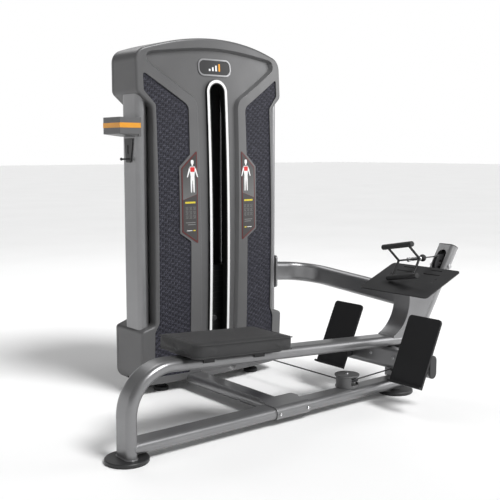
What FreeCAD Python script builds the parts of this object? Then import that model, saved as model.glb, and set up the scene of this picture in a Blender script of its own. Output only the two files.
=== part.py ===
import FreeCAD, Part
import math
import os

# Seated cable row.  Working frame, in millimetres: X runs along the seat rail from the leg to the
# column, Y from the seat rail back to the weight tower, Z up from the floor, with X = Y = 0 under
# the middle of the leg.  The finished machine is moved as a whole before it is exported, so that
# it stands on Z = 0 with the middle of its bounding box over the origin.

V = FreeCAD.Vector
X_DIR = V(1, 0, 0)
Y_DIR = V(0, 1, 0)
Z_DIR = V(0, 0, 1)
ORIGIN = V(0, 0, 0)

# ---- Driving dimensions -------------------------------------------------------------------------
RUN_CLEARANCE = 0.06        # radial clearance of every shaft in its bore

# flat-oval frame tube
TUBE_WIDE = 100.0
TUBE_THIN = 45.0
TUBE_WALL = 3.0

# feet
DISC_RADIUS = 80.0
PAD_HEIGHT = 4.0
DISC_HEIGHT = 12.0
FOOT_TOP = PAD_HEIGHT + DISC_HEIGHT
NECK_RADIUS = 21.0
COLUMN_FOOT_X = 1400.0

# rails
LOWER_RAIL_Z = 50.5
LOWER_RAIL_END_X = 1452.0
RAIL_START_Z = 332.2        # height of the seat rail's centre line above the leg
RAIL_DROP = 3.57            # degrees, falling towards the column
LEG_BEND_RADIUS = 165.0
RAIL_END_X = 1500.0
CROSS_TUBE_X = 731.0
SADDLE_X = (653.0, 832.0)
SADDLE_WALL = 5.0

# column, leaning away from the seat
COLUMN_LEAN = 32.7          # degrees from vertical
COLUMN_TOP = V(1757.0, 0, 637.0)
COLUMN_WIDE = 100.0
COLUMN_THIN = 48.0
POST_X = (1380.0, 1484.0)
COLUMN_LOW_Z = 172.0
CAP_THICK = 4.0
GUSSET_TOP_Z = 474.0

# footplates
FOOTPLATE_Y = 225.0
FOOTPLATE_WIDTH = 173.0
FOOTPLATE_LENGTH = 302.0
FOOTPLATE_THICK = 10.0
FOOTPLATE_LEAN = 24.4
FOOTPLATE_LOW = V(1203.0, 0, 111.0)
FOOT_TUBE_X = 1334.0
FOOT_TUBE_Z = 176.0
FOOT_TUBE_HALF = 262.0

# handle shelf
SHELF_LOW = V(1365.0, 0, 460.0)
SHELF_TILT = 22.3
SHELF_LENGTH = 250.7
SHELF_WIDTH = 392.0
SHELF_THICK = 5.0

# seat
SEAT_MIDDLE_X = 444.5
SEAT_TOP_Z = 392.6
SEAT_LENGTH = 452.0
SEAT_WIDTH = 243.4
SEAT_PAD_THICK = 57.0
SEAT_EDGE_RADIUS = 7.0
SEAT_BOARD_THICK = 4.0
SEAT_BOARD_INSET = 18.0
SEAT_CORNERS = (38.0, 12.0, 24.0, 8.0)      # near side from the leg, then back along the far side
SEAT_BRACKET_X = (-120.0, 120.0)

# weight tower: outlines are (distance from the tower's middle, height, corner radius)
TOWER_X = 859.0
STACK_Y = 726.0
FRONT_Y = 590.0             # the crowned front face, at the tower's middle
CROWN_Z = 700.0
CROWN_ACROSS = 2370.0       # radius of the crown in plan
CROWN_UP = 11300.0          # and in side view
SHROUD_WALL = 5.0
WAIST_BACK_Y = 672.0
BULGE_BACK_Y = 838.0
TOWER_BACK_Y = 860.0
TOWER_PEAK = (0, 1641, 1137)
TOWER_HALF = [(403, 1515, 60), (403, 1338, 30), (334, 1278, 30),
              (334, 318, 20), (403, 293, 18), (403, 45, 52)]
WAIST_Z = (318.0, 1278.0)
RECESS_PEAK = (0, 1547, 2000)
RECESS_HALF = [(340, 1512, 30), (371, 1478, 12), (115, 1309, 60), (111.6, 1000, 0), (108.2, 700, 0),
               (104.9, 400, 0), (101, 51, 4)]
RECESS_DEPTH = 18.0
RECESS_BEVEL = 13.0
MESH = [(373, 1425, 8), (159, 1285, 40), (161, 1068, 6), (217, 1014, 6), (217, 721, 6), (161, 683, 6),
        (161, 80, 8), (340, 80, 24), (340, 285, 12), (320, 325, 14), (320, 1285, 20), (373, 1345, 14)]
PLACARD = [(126, 1087, 3), (207, 1010, 5), (207, 726, 5), (126, 672, 3)]
SLOT_TRIM = 56.0
SLOT_OPEN = 38.5
SLOT_TOP_Z = 1348.0         # middle of the slot's round top
SLOT_LOW_Z = 96.0
BADGE_HALF = 91.0
BADGE_Z = (1421.0, 1497.0)
UPRIGHT_X = 368.0           # from the tower's middle
UPRIGHT_WIDE = 140.0
UPRIGHT_THIN = 52.0
UPRIGHT_Z = (90.0, 1465.0)
BASE_TUBE_Z = (45.0, 90.0)
BASE_FRONT_Y = 700.0
BASE_REAR_Y = 800.0
BASE_TUBE_WIDE = 50.0
TOWER_FOOT_X = 263.0
TOWER_FOOT_RADIUS = 34.0

# weight stack
PLATE_X = 310.0
PLATE_Y = 105.0
PLATE_THICK = 25.0
PLATE_PITCH = 25.5
RESTING_PLATES = 7
LIFTED_PLATES = 9
STACK_LOW_Z = 118.0
ROD_X = 105.0
ROD_RADIUS = 10.0
ROD_SOCKET_Z = (1398.0, 1416.0)
ROD_SOCKET_WIDE = 30.0
ROD_HOLE = 12.0
SELECTOR_RADIUS = 11.0
SELECTOR_HOLE = 13.5
PIN_RADIUS = 5.0
TOP_BEAM_Z = (1430.0, 1490.0)
TOP_BEAM_Y = 25.0           # half the distance between the two top bars
TOP_BEAM_THICK = 8.0

# cable and pulleys
CABLE_RADIUS = 3.0
PULLEY_WIDTH = 18.0
PULLEY_RIM = 6.0            # rim height above the cable's middle
AXLE_RADIUS = 6.0
CABLE_TOP_Z = 1500.0
CABLE_LOW_Z = 110.0
CABLE_DOWN_X = 1064.0
RAIL_CORNER_Y = -32.0
CAP_Z = (122.0, 128.0)      # cap disc over the pulley on the lower rail
GUARD_RADIUS = 52.0
GUARD_WALL = 3.0
GUARD_BASE = 6.0
GUARD_LIP = 8.0
GUARD_ANGLES = (160.0, 246.0)
COLUMN_FOOT_CORNER_X = 1430.0
PULL_Z = 598.0
COLUMN_HEAD_CORNER_X = 1795.5

# handle
HANDLE_X = 1478.0
HANDLE_ROLL = -10.0
HANDLE_PITCH = -4.0
HANDLE_YAW = -8.0
GRIP_LENGTH = 200.0
GRIP_RADIUS = 12.5
GRIP_CORE_RADIUS = 9.0
GRIP_OFFSET = V(-55.0, 0, 70.5)
FRAME_ROD_RADIUS = 5.5
FRAME_ROD_Y = 70.0
CROSSBAR_RADIUS = 4.0
BALL_X = 1573.0
BALL_RADIUS = 16.5
BALL_SOCKET = 10.0          # where the cable ends inside the ball, from its middle

# cup holder and towel hook, on the tower's left upright
CUP_X = (372.0, 464.0)
CUP_Y = (650.0, 788.0)
CUP_Z = (1147.0, 1229.0)
CUP_WALL = 3.0
BAND_Z = (1184.0, 1205.0)
HOOK_Z = (1035.0, 1140.0)
HOOK_FACE_X = TOWER_X - UPRIGHT_X - UPRIGHT_THIN / 2

nodes = {}


# ---- Outlines and paths -------------------------------------------------------------------------
def rounded_edges(corners, closed):
    """Straight edges joined by tangent arcs.  Each corner is (point, radius)."""
    count = len(corners)
    pieces = []
    for index, (point, radius) in enumerate(corners):
        is_end = not closed and index in (0, count - 1)
        if is_end or radius == 0:
            pieces.append((point, None, point))
            continue
        before = (corners[index - 1][0] - point).normalize()
        after = (corners[(index + 1) % count][0] - point).normalize()
        half = before.getAngle(after) / 2.0
        reach = radius / math.tan(half)
        middle = point + (before + after).normalize() * (radius / math.sin(half) - radius)
        pieces.append((point + before * reach, middle, point + after * reach))
    edges = []
    for index, (start, middle, end) in enumerate(pieces):
        if middle is not None:
            edges.append(Part.Arc(start, middle, end).toShape())
        if index == count - 1 and not closed:
            break
        following = pieces[(index + 1) % count][0]
        if (following - end).Length > 1e-6:
            edges.append(Part.LineSegment(end, following).toShape())
    return edges


def outline_face(corners):
    return Part.Face(Part.Wire(rounded_edges(corners, True)))


def outline_xz(corners, y):
    """Closed wire in a plane of constant Y, from (x, z, radius) corners."""
    return Part.Wire(rounded_edges([(V(x, y, z), radius) for x, z, radius in corners], True))


def slab_xz(corners, y_low, y_high):
    return Part.Face(outline_xz(corners, y_low)).extrude(V(0, y_high - y_low, 0))


def slab_xy(corners, z_low, z_high):
    face = outline_face([(V(x, y, z_low), radius) for x, y, radius in corners])
    return face.extrude(V(0, 0, z_high - z_low))


def slab_yz(corners, x_low, x_high):
    face = outline_face([(V(x_low, y, z), radius) for y, z, radius in corners])
    return face.extrude(V(x_high - x_low, 0, 0))


def rectangle(low_a, high_a, low_b, high_b, radius):
    return [(low_a, low_b, radius), (high_a, low_b, radius),
            (high_a, high_b, radius), (low_a, high_b, radius)]


def flat_oval(centre, across, through, wide, thin):
    """Flat-oval wire: `wide` along `across`, `thin` along `through`, with full-round ends."""
    side = across * ((wide - thin) / 2.0)
    radius = thin / 2.0
    a = centre + side + through * radius
    b = centre + side - through * radius
    c = centre - side - through * radius
    d = centre - side + through * radius
    return Part.Wire([
        Part.Arc(a, centre + side + across * radius, b).toShape(),
        Part.LineSegment(b, c).toShape(),
        Part.Arc(c, centre - side - across * radius, d).toShape(),
        Part.LineSegment(d, a).toShape()])


def oval_bar(start, end, across, wide, thin):
    along = end - start
    through = along.cross(across).normalize()
    return Part.Face(flat_oval(start, across, through, wide, thin)).extrude(along)


def oval_tube(start, end, across, wide, thin, wall):
    outer = oval_bar(start, end, across, wide, thin)
    return outer.cut(oval_bar(start, end, across, wide - 2 * wall, thin - 2 * wall))


def swept(path, profile, plane_normal):
    pipe = Part.BRepOffsetAPI.MakePipeShell(path)
    pipe.setBiNormalMode(plane_normal)
    pipe.add(profile)
    pipe.build()
    pipe.makeSolid()
    return pipe.shape()


def swept_oval_tube(corners, across, wide, thin):
    """Hollow flat-oval tube along a path in one plane, with `across` square to that plane or in it."""
    path = Part.Wire(rounded_edges(corners, False))
    first = (corners[1][0] - corners[0][0]).normalize()
    last = (corners[2][0] - corners[1][0]).normalize()
    through = first.cross(across).normalize()
    normal = first.cross(last).normalize()
    outer = swept(path, flat_oval(corners[0][0], across, through, wide, thin), normal)
    inner_profile = flat_oval(corners[0][0], across, through, wide - 2 * TUBE_WALL, thin - 2 * TUBE_WALL)
    return outer.cut(swept(path, inner_profile, normal)), outer


def rod(start, end, radius):
    return Part.makeCylinder(radius, (end - start).Length, start, end - start)


def ring(start, end, outer_radius, inner_radius):
    return rod(start, end, outer_radius).cut(rod(start, end, inner_radius))


def bolt_head(centre, out, radius=7.0, height=6.0):
    """Domed button head with a hexagon socket, standing on a face."""
    head = rod(centre, centre + out * height, radius)
    rim = [edge for edge in head.Edges if (edge.CenterOfMass - centre - out * height).Length < 0.01]
    head = head.makeFillet(height * 0.55, rim)
    side = Y_DIR if abs(out.dot(Y_DIR)) < 0.9 else Z_DIR
    third = out.cross(side).normalize()
    points = []
    for step in range(6):
        angle = math.radians(60 * step)
        spoke = side * math.cos(angle) + third * math.sin(angle)
        points.append(centre + out * height + spoke * (radius * 0.5))
    socket = Part.Face(Part.makePolygon(points + [points[0]])).extrude(out * (-height * 0.5))
    return head.cut(socket)


def fuse(shapes):
    first = shapes[0]
    return first if len(shapes) == 1 else first.fuse(shapes[1:]).removeSplitter()


def rail_z(x):
    """Height of the seat rail's centre line."""
    return RAIL_START_Z - x * math.tan(math.radians(RAIL_DROP))


def column_axis_x(z):
    return COLUMN_TOP.x + (z - COLUMN_TOP.z) * math.tan(math.radians(COLUMN_LEAN))


# ---- Feet and rails -----------------------------------------------------------------------------
def floor_disc(x):
    disc = Part.makeCylinder(DISC_RADIUS, DISC_HEIGHT, V(x, 0, PAD_HEIGHT))
    top = [edge for edge in disc.Edges if edge.CenterOfMass.z > FOOT_TOP - 0.01]
    return disc.makeChamfer(3.0, top)


def rubber_pad(x):
    return Part.makeCylinder(DISC_RADIUS - 3.0, PAD_HEIGHT, V(x, 0, 0))


def seat_rail_corners():
    return [(V(0, 0, FOOT_TOP), 0),
            (V(0, 0, RAIL_START_Z), LEG_BEND_RADIUS),
            (V(RAIL_END_X, 0, rail_z(RAIL_END_X)), 0)]


def seat_rail_solid():
    """The sloping part of the seat rail without its hollow, to fit other pieces against."""
    return oval_bar(V(180, 0, rail_z(180)), V(RAIL_END_X + 60, 0, rail_z(RAIL_END_X + 60)), Y_DIR,
                    TUBE_WIDE, TUBE_THIN)


def column_direction():
    lean = math.radians(COLUMN_LEAN)
    return V(math.sin(lean), 0, math.cos(lean))


def column_start():
    along = column_direction()
    return COLUMN_TOP - along * ((COLUMN_TOP.z - COLUMN_LOW_Z + 30.0) / along.z)


def build_rails():
    column_outer = oval_bar(column_start(), COLUMN_TOP, Y_DIR, COLUMN_WIDE, COLUMN_THIN)
    seat_rail, seat_rail_outer = swept_oval_tube(seat_rail_corners(), Y_DIR, TUBE_WIDE, TUBE_THIN)
    beyond_column = Part.makeBox(400, 200, 400, V(column_axis_x(rail_z(RAIL_END_X)), -100, 0))
    seat_rail = seat_rail.cut(column_outer).cut(beyond_column)
    nodes["leg_and_seat_rail"] = max(seat_rail.Solids, key=lambda solid: solid.Volume)

    leg_outer = oval_bar(V(0, 0, FOOT_TOP), V(0, 0, 150), Y_DIR, TUBE_WIDE, TUBE_THIN)
    start = V(0, 0, LOWER_RAIL_Z)
    end = V(LOWER_RAIL_END_X, 0, LOWER_RAIL_Z)
    lower = oval_tube(start, end, Y_DIR, TUBE_WIDE, TUBE_THIN, TUBE_WALL)
    cap = oval_bar(end, end + X_DIR * 4.0, Y_DIR, TUBE_WIDE, TUBE_THIN)
    neck = Part.makeCylinder(NECK_RADIUS, LOWER_RAIL_Z - TUBE_THIN / 2 - FOOT_TOP + 2,
                             V(COLUMN_FOOT_X, 0, FOOT_TOP))
    nodes["lower_rail"] = fuse([lower, cap, neck]).cut(leg_outer)

    cross_start = V(CROSS_TUBE_X, TUBE_WIDE / 2 - 6, LOWER_RAIL_Z)
    cross_end = V(CROSS_TUBE_X, BASE_FRONT_Y - BASE_TUBE_WIDE / 2, LOWER_RAIL_Z)
    lower_outer = oval_bar(start, end, Y_DIR, TUBE_WIDE, TUBE_THIN)
    cross = oval_tube(cross_start, cross_end, X_DIR, TUBE_WIDE, TUBE_THIN, TUBE_WALL)
    nodes["cross_tube"] = cross.cut(lower_outer)

    nodes["floor_disc_leg"] = floor_disc(0)
    nodes["floor_disc_column"] = floor_disc(COLUMN_FOOT_X)
    nodes["floor_pad_leg"] = rubber_pad(0)
    nodes["floor_pad_column"] = rubber_pad(COLUMN_FOOT_X)


def build_saddle():
    """Clamp that wraps the lower rail and carries the cross tube, with its two front bolts."""
    low, high = SADDLE_X
    wrap_start = V(low, 0, LOWER_RAIL_Z)
    wrap_end = V(high, 0, LOWER_RAIL_Z)
    outer = oval_bar(wrap_start, wrap_end, Y_DIR, TUBE_WIDE + 2 * SADDLE_WALL, TUBE_THIN + 2 * SADDLE_WALL)
    inner = oval_bar(wrap_start - X_DIR, wrap_end + X_DIR, Y_DIR, TUBE_WIDE, TUBE_THIN)
    flange = slab_xy(rectangle(low + 14, high + 11, 30, 82, 12), LOWER_RAIL_Z + TUBE_THIN / 2,
                     LOWER_RAIL_Z + TUBE_THIN / 2 + SADDLE_WALL)
    cross_outer = oval_bar(V(CROSS_TUBE_X, 20, LOWER_RAIL_Z), V(CROSS_TUBE_X, 120, LOWER_RAIL_Z),
                           X_DIR, TUBE_WIDE, TUBE_THIN)
    saddle = fuse([outer, flange]).cut(inner).cut(cross_outer)
    nodes["joint_saddle"] = max(saddle.Solids, key=lambda solid: solid.Volume)
    front = -(TUBE_WIDE / 2 + SADDLE_WALL)
    return [bolt_head(V(x, front, LOWER_RAIL_Z), -Y_DIR) for x in (low + 14, high - 17)]


# ---- Column, gusset and brace arm ---------------------------------------------------------------
def column_slot(from_top, to_top, width, forward):
    """Round-ended cutter through one wide face of the column, between two distances below the top."""
    along = column_direction()
    face_normal = V(-along.z, 0, along.x) * forward
    start = COLUMN_TOP - along * (from_top + width / 2) + face_normal * 4.0
    end = COLUMN_TOP - along * (to_top - width / 2) + face_normal * 4.0
    centre = (start + end) * 0.5
    length = (start - end).Length + width
    return Part.Face(flat_oval(centre, along, Y_DIR, length, width)).extrude(face_normal * 60.0)


def build_column():
    along = column_direction()
    outer = oval_bar(column_start(), COLUMN_TOP, Y_DIR, COLUMN_WIDE, COLUMN_THIN)
    inner = oval_bar(column_start(), COLUMN_TOP, Y_DIR,
                     COLUMN_WIDE - 2 * TUBE_WALL, COLUMN_THIN - 2 * TUBE_WALL)
    column = outer.cut(inner)
    column = column.cut(column_slot(28, 205, 48, 1))
    column = column.cut(column_slot(42, 533, 30, -1))
    below = Part.makeBox(400, 200, COLUMN_LOW_Z, V(POST_X[0] - 100, -100, 0))
    column = column.cut(below)
    head = pulley_centre("column_top")
    nodes["column_tube"] = column.cut(rod(head - Y_DIR * 80, head + Y_DIR * 80, AXLE_RADIUS))

    cap = oval_bar(COLUMN_TOP, COLUMN_TOP + along * CAP_THICK, Y_DIR, COLUMN_WIDE + 1, COLUMN_THIN + 1)
    rim = [edge for edge in cap.Edges
           if (edge.CenterOfMass - COLUMN_TOP).dot(along) > CAP_THICK - 0.01]
    column_cap = cap.makeFillet(2.0, rim)

    post_low = LOWER_RAIL_Z + TUBE_THIN / 2
    post_high = 232.0
    half = COLUMN_WIDE / 2
    post = slab_xy(rectangle(POST_X[0], POST_X[1], -half, half, 10), post_low, post_high)
    wall = TUBE_WALL
    hollow = rectangle(POST_X[0] + wall, POST_X[1] - wall, wall - half, half - wall, 7)
    post = post.cut(slab_xy(hollow, post_low, post_high)).cut(outer).cut(seat_rail_solid())
    cable_hole = rod(V(POST_X[0] - 5, 0, CABLE_LOW_Z), V(POST_X[0] + 20, 0, CABLE_LOW_Z), 9.0)
    base = pulley_centre("column_base")
    post = post.cut(cable_hole).cut(rod(base - Y_DIR * 80, base + Y_DIR * 80, AXLE_RADIUS))
    nodes["column_base_post"] = max(post.Solids, key=lambda solid: solid.Volume)
    grommet = ring(V(POST_X[0] - 3, 0, CABLE_LOW_Z), V(POST_X[0] + 4, 0, CABLE_LOW_Z), 9.0, 6.0)
    lip = ring(V(POST_X[0] - 3, 0, CABLE_LOW_Z), V(POST_X[0], 0, CABLE_LOW_Z), 12.5, 6.0)
    return [column_cap, fuse([grommet, lip])]


def gusset_outline(inset):
    """Side outline of the curved brace between the seat rail and the column."""
    arc_radius = 162.0 + inset
    arc_centre = V(1273.0, 0, 422.0)
    front_x = arc_centre.x + arc_radius
    top_z = GUSSET_TOP_Z - inset
    foot_angle = math.radians(-68.0)

    def on_arc(angle):
        return arc_centre + V(math.cos(angle), 0, math.sin(angle)) * arc_radius

    foot = on_arc(foot_angle)
    middle = on_arc(foot_angle / 2)
    foot_rail = V(foot.x, 0, rail_z(foot.x))
    arc_top = V(front_x, 0, arc_centre.z)
    front_top = V(front_x, 0, top_z)
    back_top = V(column_axis_x(top_z), 0, top_z)
    back_z = rail_z(RAIL_END_X)
    back_low = V(column_axis_x(back_z), 0, back_z)
    return [Part.LineSegment(foot_rail, foot).toShape(),
            Part.Arc(foot, middle, arc_top).toShape(),
            Part.LineSegment(arc_top, front_top).toShape(),
            Part.LineSegment(front_top, back_top).toShape(),
            Part.LineSegment(back_top, back_low).toShape(),
            Part.LineSegment(back_low, foot_rail).toShape()]


def build_gusset():
    half = 46.0
    outer = Part.Face(Part.Wire(gusset_outline(0))).extrude(V(0, 2 * half, 0))
    outer.translate(V(0, -half, 0))
    inner = Part.Face(Part.Wire(gusset_outline(4))).extrude(V(0, 2 * half - 8, 0))
    inner.translate(V(0, 4 - half, 0))
    column_outer = oval_bar(column_start(), COLUMN_TOP, Y_DIR, COLUMN_WIDE, COLUMN_THIN)
    gusset = outer.cut(inner).cut(column_outer).cut(seat_rail_solid())
    gusset = max(gusset.Solids, key=lambda solid: solid.Volume)
    nodes["column_gusset"] = fuse([gusset] + shelf_webs())


ARM_START = V(TOWER_X + UPRIGHT_X + UPRIGHT_THIN / 2, 690.0, 490.0)
ARM_CORNER = V(1482.0, 690.0, 472.0)
ARM_END = V(1470.0, 0.0, 426.0)
ARM_HEIGHT = 93.0
ARM_THICK = 45.0
ARM_BEND_RADIUS = 150.0
ARM_FLANGE = 10.0


def build_arm():
    corners = [(ARM_START + X_DIR * ARM_FLANGE, 0), (ARM_CORNER, ARM_BEND_RADIUS), (ARM_END, 0)]
    first = (ARM_CORNER - corners[0][0]).normalize()
    last = (ARM_END - ARM_CORNER).normalize()
    tall = last.cross(first).normalize()
    tube, _ = swept_oval_tube(corners, tall, ARM_HEIGHT, ARM_THICK)
    gusset_solid = Part.Face(Part.Wire(gusset_outline(0))).extrude(V(0, 92, 0))
    gusset_solid.translate(V(0, -46, 0))
    column_outer = oval_bar(column_start(), COLUMN_TOP, Y_DIR, COLUMN_WIDE, COLUMN_THIN)
    near_side = Part.makeBox(600, 200, 600, V(1200, -154, 100))
    tube = tube.cut(gusset_solid).cut(column_outer).cut(near_side)
    tube = max(tube.Solids, key=lambda solid: solid.Volume)
    flange = slab_yz(rectangle(STACK_Y - 66, STACK_Y + 40, 410, 570, 14),
                     ARM_START.x, ARM_START.x + ARM_FLANGE)
    nodes["brace_arm"] = fuse([flange, tube])
    heads = []
    for y in (STACK_Y - 54, STACK_Y + 28):
        for z in (424, 556):
            heads.append(bolt_head(V(ARM_START.x + ARM_FLANGE, y, z), X_DIR))
    return heads


# ---- Footplates ---------------------------------------------------------------------------------
def footplate_surface_x(z):
    return FOOTPLATE_LOW.x + (z - FOOTPLATE_LOW.z) * math.tan(math.radians(FOOTPLATE_LEAN))


def footplate(side):
    half = FOOTPLATE_WIDTH / 2
    outline = [(-half, 0, 5), (half, 0, 5), (half, FOOTPLATE_LENGTH, 16), (-half, FOOTPLATE_LENGTH, 16)]
    plate = slab_yz(outline, 0, FOOTPLATE_THICK)
    lip = slab_yz(rectangle(-half, half, 0, 9, 2), -14, FOOTPLATE_THICK)
    shape = fuse([plate, lip])
    shape.rotate(ORIGIN, Y_DIR, FOOTPLATE_LEAN)
    shape.translate(FOOTPLATE_LOW + V(0, side * FOOTPLATE_Y, 0))
    return shape


def footplate_bracket(side):
    """Welded box between the back of a footplate and the tube that carries both."""
    low = 146.0
    high = 206.0
    face_x = FOOT_TUBE_X - TUBE_THIN / 2
    skin = FOOTPLATE_THICK / math.cos(math.radians(FOOTPLATE_LEAN))
    outline = [(footplate_surface_x(low) + skin, low, 0), (face_x, low, 0),
               (face_x, high, 0), (footplate_surface_x(high) + skin, high, 0)]
    box = slab_xz(outline, -32, 32)
    hollow_outline = [(footplate_surface_x(low) - 20, low + 4, 0), (face_x + 20, low + 4, 0),
                      (face_x + 20, high - 4, 0), (footplate_surface_x(high) - 20, high - 4, 0)]
    box = box.cut(slab_xz(hollow_outline, -28, 28))
    box.translate(V(0, side * (FOOTPLATE_Y - 10), 0))
    return box


def build_footplates():
    centre = V(FOOT_TUBE_X, 0, FOOT_TUBE_Z)
    start = centre - Y_DIR * FOOT_TUBE_HALF
    end = centre + Y_DIR * FOOT_TUBE_HALF
    tube = oval_tube(start, end, Z_DIR, TUBE_WIDE, TUBE_THIN, TUBE_WALL)
    tube_outer = oval_bar(start, end, Z_DIR, TUBE_WIDE, TUBE_THIN)
    post_face = POST_X[0]
    webs = []
    for side in (-1, 1):
        web = Part.makeBox(post_face - FOOT_TUBE_X, 6, 44, V(FOOT_TUBE_X, side * 38 - 3, 128))
        webs.append(web.cut(tube_outer))
    nodes["footplate_tube"] = fuse([tube] + webs).cut(seat_rail_solid())
    caps = []
    for point, out in ((start, -Y_DIR), (end, Y_DIR)):
        cap = Part.Face(flat_oval(point, Z_DIR, X_DIR, TUBE_WIDE, TUBE_THIN)).extrude(out * 8.0)
        rim = [edge for edge in cap.Edges if (edge.CenterOfMass - point).dot(out) > 7.99]
        caps.append(cap.makeFillet(5.0, rim))
    face = FOOT_TUBE_X - TUBE_THIN / 2
    heads = [bolt_head(V(face, y, FOOT_TUBE_Z + 6), -X_DIR, 8.0) for y in (-67, 67)]
    nodes["footplate_near"] = footplate(-1)
    nodes["footplate_far"] = footplate(1)
    nodes["footplate_bracket_near"] = footplate_bracket(-1)
    nodes["footplate_bracket_far"] = footplate_bracket(1)
    return caps, heads


# ---- Handle shelf -------------------------------------------------------------------------------
def on_shelf(shape):
    """Move a shape from the shelf's own frame: X up the slope from its low edge, Z square to it."""
    shape.rotate(ORIGIN, Y_DIR, -SHELF_TILT)
    shape.translate(SHELF_LOW)
    return shape


def build_shelf():
    half = SHELF_WIDTH / 2
    shelf = slab_xy(rectangle(0, SHELF_LENGTH, -half, half, 16), -SHELF_THICK, 0)
    for side in (-1, 1):
        near_row = sorted((side * 45, side * 112))
        far_row = sorted((side * 30, side * 125))
        shelf = shelf.cut(slab_xy(rectangle(224, 231, near_row[0], near_row[1], 3), -10, 10))
        shelf = shelf.cut(slab_xy(rectangle(187, 194, far_row[0], far_row[1], 3), -10, 10))
        shelf = shelf.cut(slab_xy(rectangle(122, 160, side * 130 - 3, side * 130 + 3, 2.5), -10, 10))
    nodes["handle_shelf"] = on_shelf(shelf)


def shelf_webs():
    """Two upright plates and a tie that carry the shelf on top of the gusset."""
    foot = GUSSET_TOP_Z - 1.0
    low_x = 1437.0
    high_x = 1578.0
    slope = math.tan(math.radians(SHELF_TILT))
    drop = SHELF_THICK / math.cos(math.radians(SHELF_TILT))
    under_low = SHELF_LOW.z + (low_x - SHELF_LOW.x) * slope - drop
    under_high = SHELF_LOW.z + (high_x - SHELF_LOW.x) * slope - drop
    outline = [(low_x, foot, 0), (high_x, foot, 0), (high_x, under_high, 0), (low_x, under_low, 0)]
    webs = [slab_xz(outline, y - 3, y + 3) for y in (-34, 34)]
    return webs + [Part.makeBox(6, 62, 30, V(1500, -31, foot))]


# ---- Seat ---------------------------------------------------------------------------------------
def on_rail(shape):
    """Move a shape from the seat's own frame: origin in the middle of the pad's top."""
    shape.rotate(ORIGIN, Y_DIR, RAIL_DROP)
    shape.translate(V(SEAT_MIDDLE_X, 0, SEAT_TOP_Z))
    return shape


def build_seat():
    half_x = SEAT_LENGTH / 2
    half_y = SEAT_WIDTH / 2
    places = ((-half_x, -half_y), (half_x, -half_y), (half_x, half_y), (-half_x, half_y))
    outline = [(x, y, radius) for (x, y), radius in zip(places, SEAT_CORNERS)]
    pad = slab_xy(outline, -SEAT_PAD_THICK, 0)
    top = [edge for edge in pad.Edges if edge.BoundBox.ZMin > -0.01]
    nodes["seat_pad"] = on_rail(pad.makeFillet(SEAT_EDGE_RADIUS, top))
    board_x = half_x - SEAT_BOARD_INSET
    board_y = half_y - SEAT_BOARD_INSET
    board = slab_xy(rectangle(-board_x, board_x, -board_y, board_y, SEAT_CORNERS[0]),
                    -SEAT_PAD_THICK - SEAT_BOARD_THICK, -SEAT_PAD_THICK)
    rail_top = SEAT_TOP_Z - rail_z(SEAT_MIDDLE_X) - TUBE_THIN / 2 / math.cos(math.radians(RAIL_DROP))
    gap_low = -rail_top * math.cos(math.radians(RAIL_DROP))
    board_low = -SEAT_PAD_THICK - SEAT_BOARD_THICK
    brackets = []
    for middle in SEAT_BRACKET_X:
        strip = slab_xy(rectangle(middle - 25, middle + 25, -80, 80, 8), gap_low - 0.5, board_low)
        cheek_near = Part.makeBox(50, 5, 26, V(middle - 25, -TUBE_WIDE / 2 - 5, gap_low - 20))
        cheek_far = Part.makeBox(50, 5, 26, V(middle - 25, TUBE_WIDE / 2, gap_low - 20))
        strip = fuse([strip, cheek_near, cheek_far])
        above = Part.makeBox(60, 200, 60, V(middle - 30, -100, board_low))
        brackets.append(strip.cut(above))
    nodes["seat_board"] = on_rail(fuse([board] + brackets)).cut(seat_rail_solid())


# ---- Cable and pulleys --------------------------------------------------------------------------
CABLE_ROUTE = [
    (V(TOWER_X, STACK_Y, 1455), 0),
    (V(TOWER_X, STACK_Y, CABLE_TOP_Z), 45),
    (V(CABLE_DOWN_X, STACK_Y, CABLE_TOP_Z), 45),
    (V(CABLE_DOWN_X, STACK_Y, CABLE_LOW_Z), 45),
    (V(CABLE_DOWN_X, RAIL_CORNER_Y, CABLE_LOW_Z), 42),
    (V(1370, 0, CABLE_LOW_Z), 400),
    (V(COLUMN_FOOT_CORNER_X, 0, CABLE_LOW_Z), 25),
    (V(COLUMN_HEAD_CORNER_X, 0, PULL_Z), 46),
    (V(BALL_X, 0, PULL_Z), 0)]
PULLEY_CORNERS = {"top_inner": 1, "top_outer": 2, "tower_bottom": 3, "rail": 4,
                  "column_base": 6, "column_top": 7}


def pulley_frame(name):
    """Centre, axis and cable radius of a pulley, from the corner that the cable turns round it."""
    index = PULLEY_CORNERS[name]
    point, radius = CABLE_ROUTE[index]
    before = (CABLE_ROUTE[index - 1][0] - point).normalize()
    after = (CABLE_ROUTE[index + 1][0] - point).normalize()
    half = before.getAngle(after) / 2.0
    centre = point + (before + after).normalize() * (radius / math.sin(half))
    return centre, before.cross(after).normalize(), radius


def pulley_centre(name):
    return pulley_frame(name)[0]


def last_tangent_point():
    """Where the cable leaves the pulley at the column's head."""
    return V(pulley_centre("column_top").x, 0, PULL_Z)


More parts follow.
